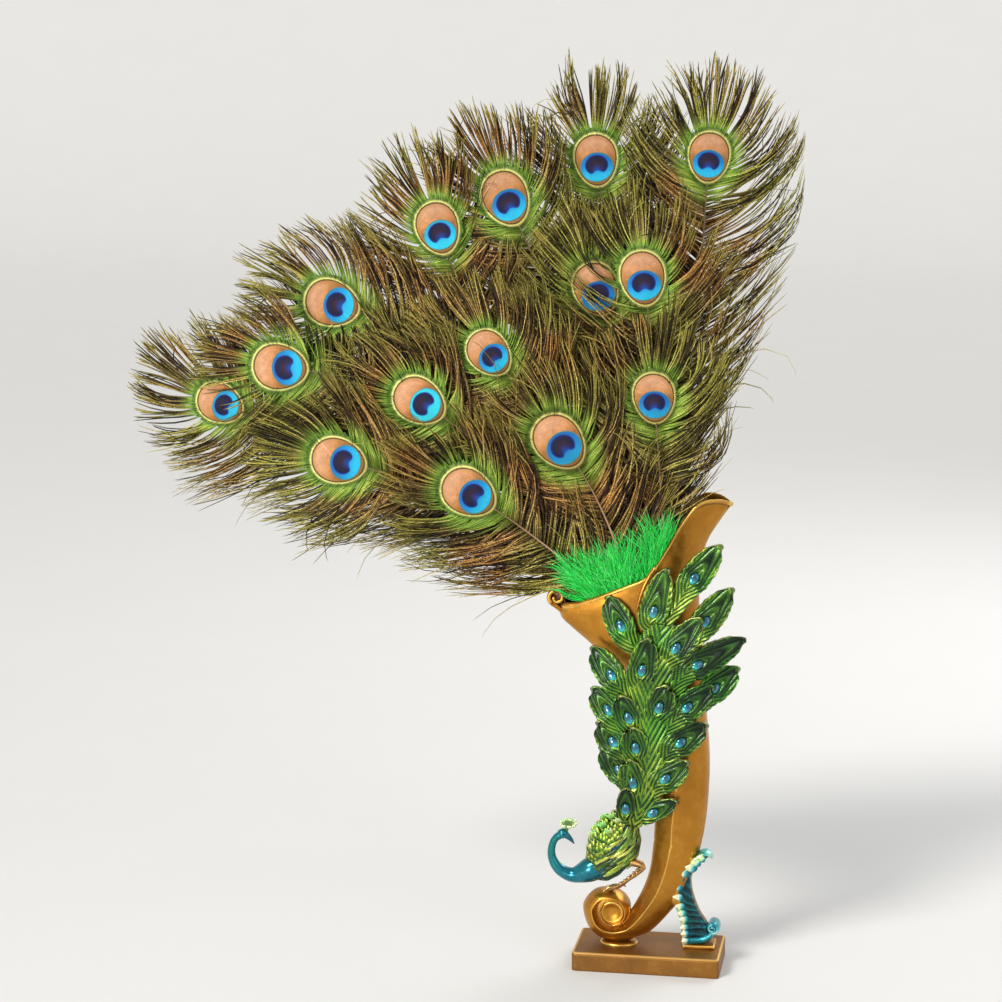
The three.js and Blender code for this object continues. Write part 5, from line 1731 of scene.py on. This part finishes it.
def barbs(shells, shaft, row, k, tone):
    """The strips of one row of barbs, widest near the root and fine at the tip."""
    rng = row.rng
    t = BARB_PLACES[None]
    path, length = row.paths()
    path = keep_in_reach(keep_in_mouth(pass_behind_eyes(path, k, rng)))
    count = len(path)
    ring = shaft.ring_radius(path[:, 1, 0], path[:, 1, 2])
    thick = rng.uniform(0.8, 1.15, count) + 0.35 * smoothstep(1.2, 2.2, ring) * (1 - row.free)
    blunt = smoothstep(-30, -6, shaft.eye_place(path[:, 0, 0], path[:, 0, 2])[1])[:, None]
    width = thick[:, None] * (np.interp(t, *BARB_WIDTHS) + blunt * np.interp(t, *BLUNT_WIDTHS))
    twist = rng.normal(0, 0.5, (count, 1)) + rng.normal(0, 0.6, (count, 1)) * t
    chance = rng.random((count, 1))
    u, v = shaft.eye_place(path[..., 0], path[..., 2])
    along = length[:, None] * t * MAP_UNIT
    strands(shells, path, width, width * BARB_THICKNESS, twist, eye=pair(u, v, u) * MAP_UNIT,
            strand=pair(along, chance, width), tone=pair(tone, t, width))


def quill(shells, shaft, share):
    """Quill and shaft in one, just in front of the barbs and behind the face of the eye."""
    heights = np.linspace(shaft.height[0], SHAFT_END, 70)
    point, _ = shaft.at(heights)
    x, z = point[:, 0], point[:, 1]
    y = layer_y(share, x, z) - 0.35 + 1.6 * smoothstep(1.05, 0.85, shaft.ring_radius(x, z))
    thick = np.interp(heights, *SHAFT_RADII)
    tip_share = np.clip(1 + heights / (shaft.length + 20), 0, 1)
    rings = sweep(np.stack([x, y, z], -1), thick, thick * 0.9, 8)
    shells.loft(rings, finish=1, strand=level_map(rings, tip_share))


def feather(k):
    """A natural feather in one piece: both rows of barbs, the eye's middle and the quill."""
    shells = Shells()
    shaft = SHAFTS[k]
    share = layer_share(k)
    tone = EYE_TONES[k]
    rng = np.random.default_rng(500 + k)
    for side in (-1, 1):
        free = float(FREE_SIDES.get(k) == side)
        barbs(shells, shaft, BarbRow(shaft, share, side, free, rng), k, tone)
    eye_plate(shells, shaft, share, rng, tone)
    quill(shells, shaft, share)
    nodes = [f"peacock_feather_{k + 1:02d}"]
    shells.make(f"natural_feather_{k + 1:02d}", [BARBS, SHAFT], nodes)


# ---------------------------------------------------------------- dyed hackles

DOWN_STRANDS = 780
DOWN_STEPS = 5
DOWN_REACH = (24, 14)                   # over x, where strands begin to bend in, and their room


def hackle(k):
    """A soft dyed tuft: long fine strands that stand up round a thin shaft."""
    shells = Shells()
    root, tip, place = GREEN_PLUMES[k]
    rng = np.random.default_rng(900 + k)
    start, end = np.array(root, float), np.array(tip, float)
    axis = end - start
    lean = math.atan2(axis[0], axis[1])
    share = place * GREEN_LAYER
    count = DOWN_STRANDS
    tuft = clumps(count, 4, 11, rng)
    tufts = tuft.max() + 1

    # where each strand leaves the shaft, how long it is and how it leans
    s = rng.uniform(0.12, 0.74, tufts)[tuft] + rng.normal(0, 0.02, count)
    aside = per_clump(tuft, 5.0, rng) + rng.normal(0, 0.7, count)
    aside = aside + rng.uniform(0, GREEN_SPREAD[k], tufts)[tuft]
    reach = rng.uniform(16, 40, tufts)[tuft] * rng.uniform(0.8, 1.1, count)
    taller = 0.35 * smoothstep(-30, 10, start[0] + axis[0] * s + aside)
    reach = reach * (1.05 - 0.35 * s) * (1 + taller)
    t = np.linspace(0, 1, DOWN_STEPS)[None]
    angle = lean + np.radians(per_clump(tuft, 14, rng) + rng.normal(0, 6, count) + aside * 0.9)[:, None]
    angle = angle + np.radians(per_clump(tuft, 24, rng) + rng.normal(0, 9, count))[:, None] * t**1.5
    angle = angle + np.radians(rng.normal(0, 9, count))[:, None] * np.sin(t * 7)

    # its path, kept off the wall and the lobe
    dx, dz = walk(angle, (reach / (DOWN_STEPS - 1))[:, None])
    x = soft_limit(start[0] + (axis[0] * s + aside)[:, None] + dx, *DOWN_REACH)
    z = start[1] + (axis[1] * s + np.abs(aside) * 0.2)[:, None] + dz
    y = layer_y(share, x, z) + rng.normal(0, 3.0, count)[:, None] * t**0.9
    path = keep_in_mouth(np.stack([x, y, z], -1))
    width = rng.uniform(0.32, 0.72, count)[:, None] * np.interp(t, [0, 0.7, 1], [1, 0.8, 0.15])
    chance = rng.random((count, 1))
    twist = rng.normal(0, 0.8, (count, 1)) + 0 * t
    strands(shells, path, width, width * 0.6, twist, strand=pair(t, chance, x))

    line = start + np.outer(np.linspace(0, 0.9, 30), axis)
    y = layer_y(share, line[:, 0], line[:, 1])
    path = keep_in_mouth(np.stack([line[:, 0], y, line[:, 1]], -1))
    radius = np.linspace(0.7, 0.25, 30)
    rings = sweep(path, radius, radius, 8)
    shells.loft(rings, strand=level_map(rings, 0.3))
    shells.make(f"dyed_hackle_{k + 1:02d}", [DYED], [f"green_plume_{k + 1:02d}"])


# ---------------------------------------------------------------- stage


def aim(thing, target):
    direction = Vector(target) - thing.location
    thing.rotation_euler = direction.to_track_quat("-Z", "Y").to_euler()


def lamp(name, kind, place, target, power, colour, **settings):
    data = bpy.data.lights.new(name, kind)
    data.energy = power
    data.color = colour
    for key, value in settings.items():
        setattr(data, key, value)
    light = bpy.data.objects.new(name, data)
    bpy.context.scene.collection.objects.link(light)
    light.location = place
    aim(light, target)


FLOOR_REACH = 60.0                      # metres, so that its sides are out of sight
BACK_Y = 7.0                            # where the floor starts to sweep up, far behind
BACK_RADIUS = 4.0
BACK_HEIGHT = 16.0
BACK_STEPS = 24
MIDDLE = (-0.12, 0, 0.36)               # what the large lamps point at
FOOT = (-0.02, 0, 0.16)
WORLD_COLOUR = (0.90, 0.92, 0.95, 1)
WORLD_STRENGTH = 0.60
WARM = (1.0, 0.97, 0.92)
COOL = (0.92, 0.96, 1.0)
PLAIN = (1.0, 1.0, 1.0)


def stage():
    """Pale floor that sweeps up far behind, an evenly lit world and four lamps."""
    profile = [(-FLOOR_REACH, 0)]
    for step in range(BACK_STEPS + 1):
        angle = math.pi / 2 * step / BACK_STEPS
        profile.append((BACK_Y + BACK_RADIUS * math.sin(angle), BACK_RADIUS * (1 - math.cos(angle))))
    profile.append((BACK_Y + BACK_RADIUS, BACK_HEIGHT))
    points = [(x, y, z) for y, z in profile for x in (-FLOOR_REACH, FLOOR_REACH)]
    faces = [(2 * k, 2 * k + 1, 2 * k + 3, 2 * k + 2) for k in range(len(profile) - 1)]
    mesh = bpy.data.meshes.new("floor")
    mesh.from_pydata(points, [], faces)
    mesh.polygons.foreach_set("use_smooth", [True] * len(faces))
    mesh.materials.append(floor_material())
    floor = bpy.data.objects.new("floor", mesh)
    bpy.context.scene.collection.objects.link(floor)

    world = bpy.data.worlds.new("studio")
    bpy.context.scene.world = world
    world.use_nodes = True
    background = world.node_tree.nodes["Background"]
    background.inputs["Color"].default_value = WORLD_COLOUR
    background.inputs["Strength"].default_value = WORLD_STRENGTH

    lamp("key", "SUN", (-1.3, -1.7, 2.3), MIDDLE, 2.0, WARM, angle=math.radians(16))
    lamp("fill", "AREA", (1.9, -1.6, 0.9), MIDDLE, 9, COOL, size=1.4)
    lamp("rim", "AREA", (0.9, 1.5, 1.5), MIDDLE, 16, PLAIN, size=1.0)
    lamp("low", "AREA", (-0.7, -1.5, 0.35), FOOT, 12, WARM, size=0.5)


CAMERA_PLACE = (0.222, -2.0, 0.720)
CAMERA_YAW = 9.8                        # degrees to the left of +Y
CAMERA_PITCH = 9.5                      # degrees down
FOCAL_PIXELS = 2555
PHOTO_WIDTH = 1002


def camera():
    """The photo's own view."""
    data = bpy.data.cameras.new("camera")
    data.sensor_width = 36
    data.lens = data.sensor_width * FOCAL_PIXELS / PHOTO_WIDTH
    data.clip_end = 100
    cam = bpy.data.objects.new("camera", data)
    bpy.context.scene.collection.objects.link(cam)
    cam.location = CAMERA_PLACE
    cam.rotation_euler = (math.radians(90 - CAMERA_PITCH), 0, math.radians(CAMERA_YAW))
    bpy.context.scene.camera = cam


# ---------------------------------------------------------------- assembly

plinth()
horn()
scroll_foot()
bracket()
bird()
crest()
bird_legs()
tail_train()
stones()
for number in range(len(FEATHERS)):
    feather(number)
for number in range(len(GREEN_PLUMES)):
    hackle(number)
stage()
camera()
bpy.context.scene.view_settings.view_transform = "Standard"

bpy.context.view_layer.update()
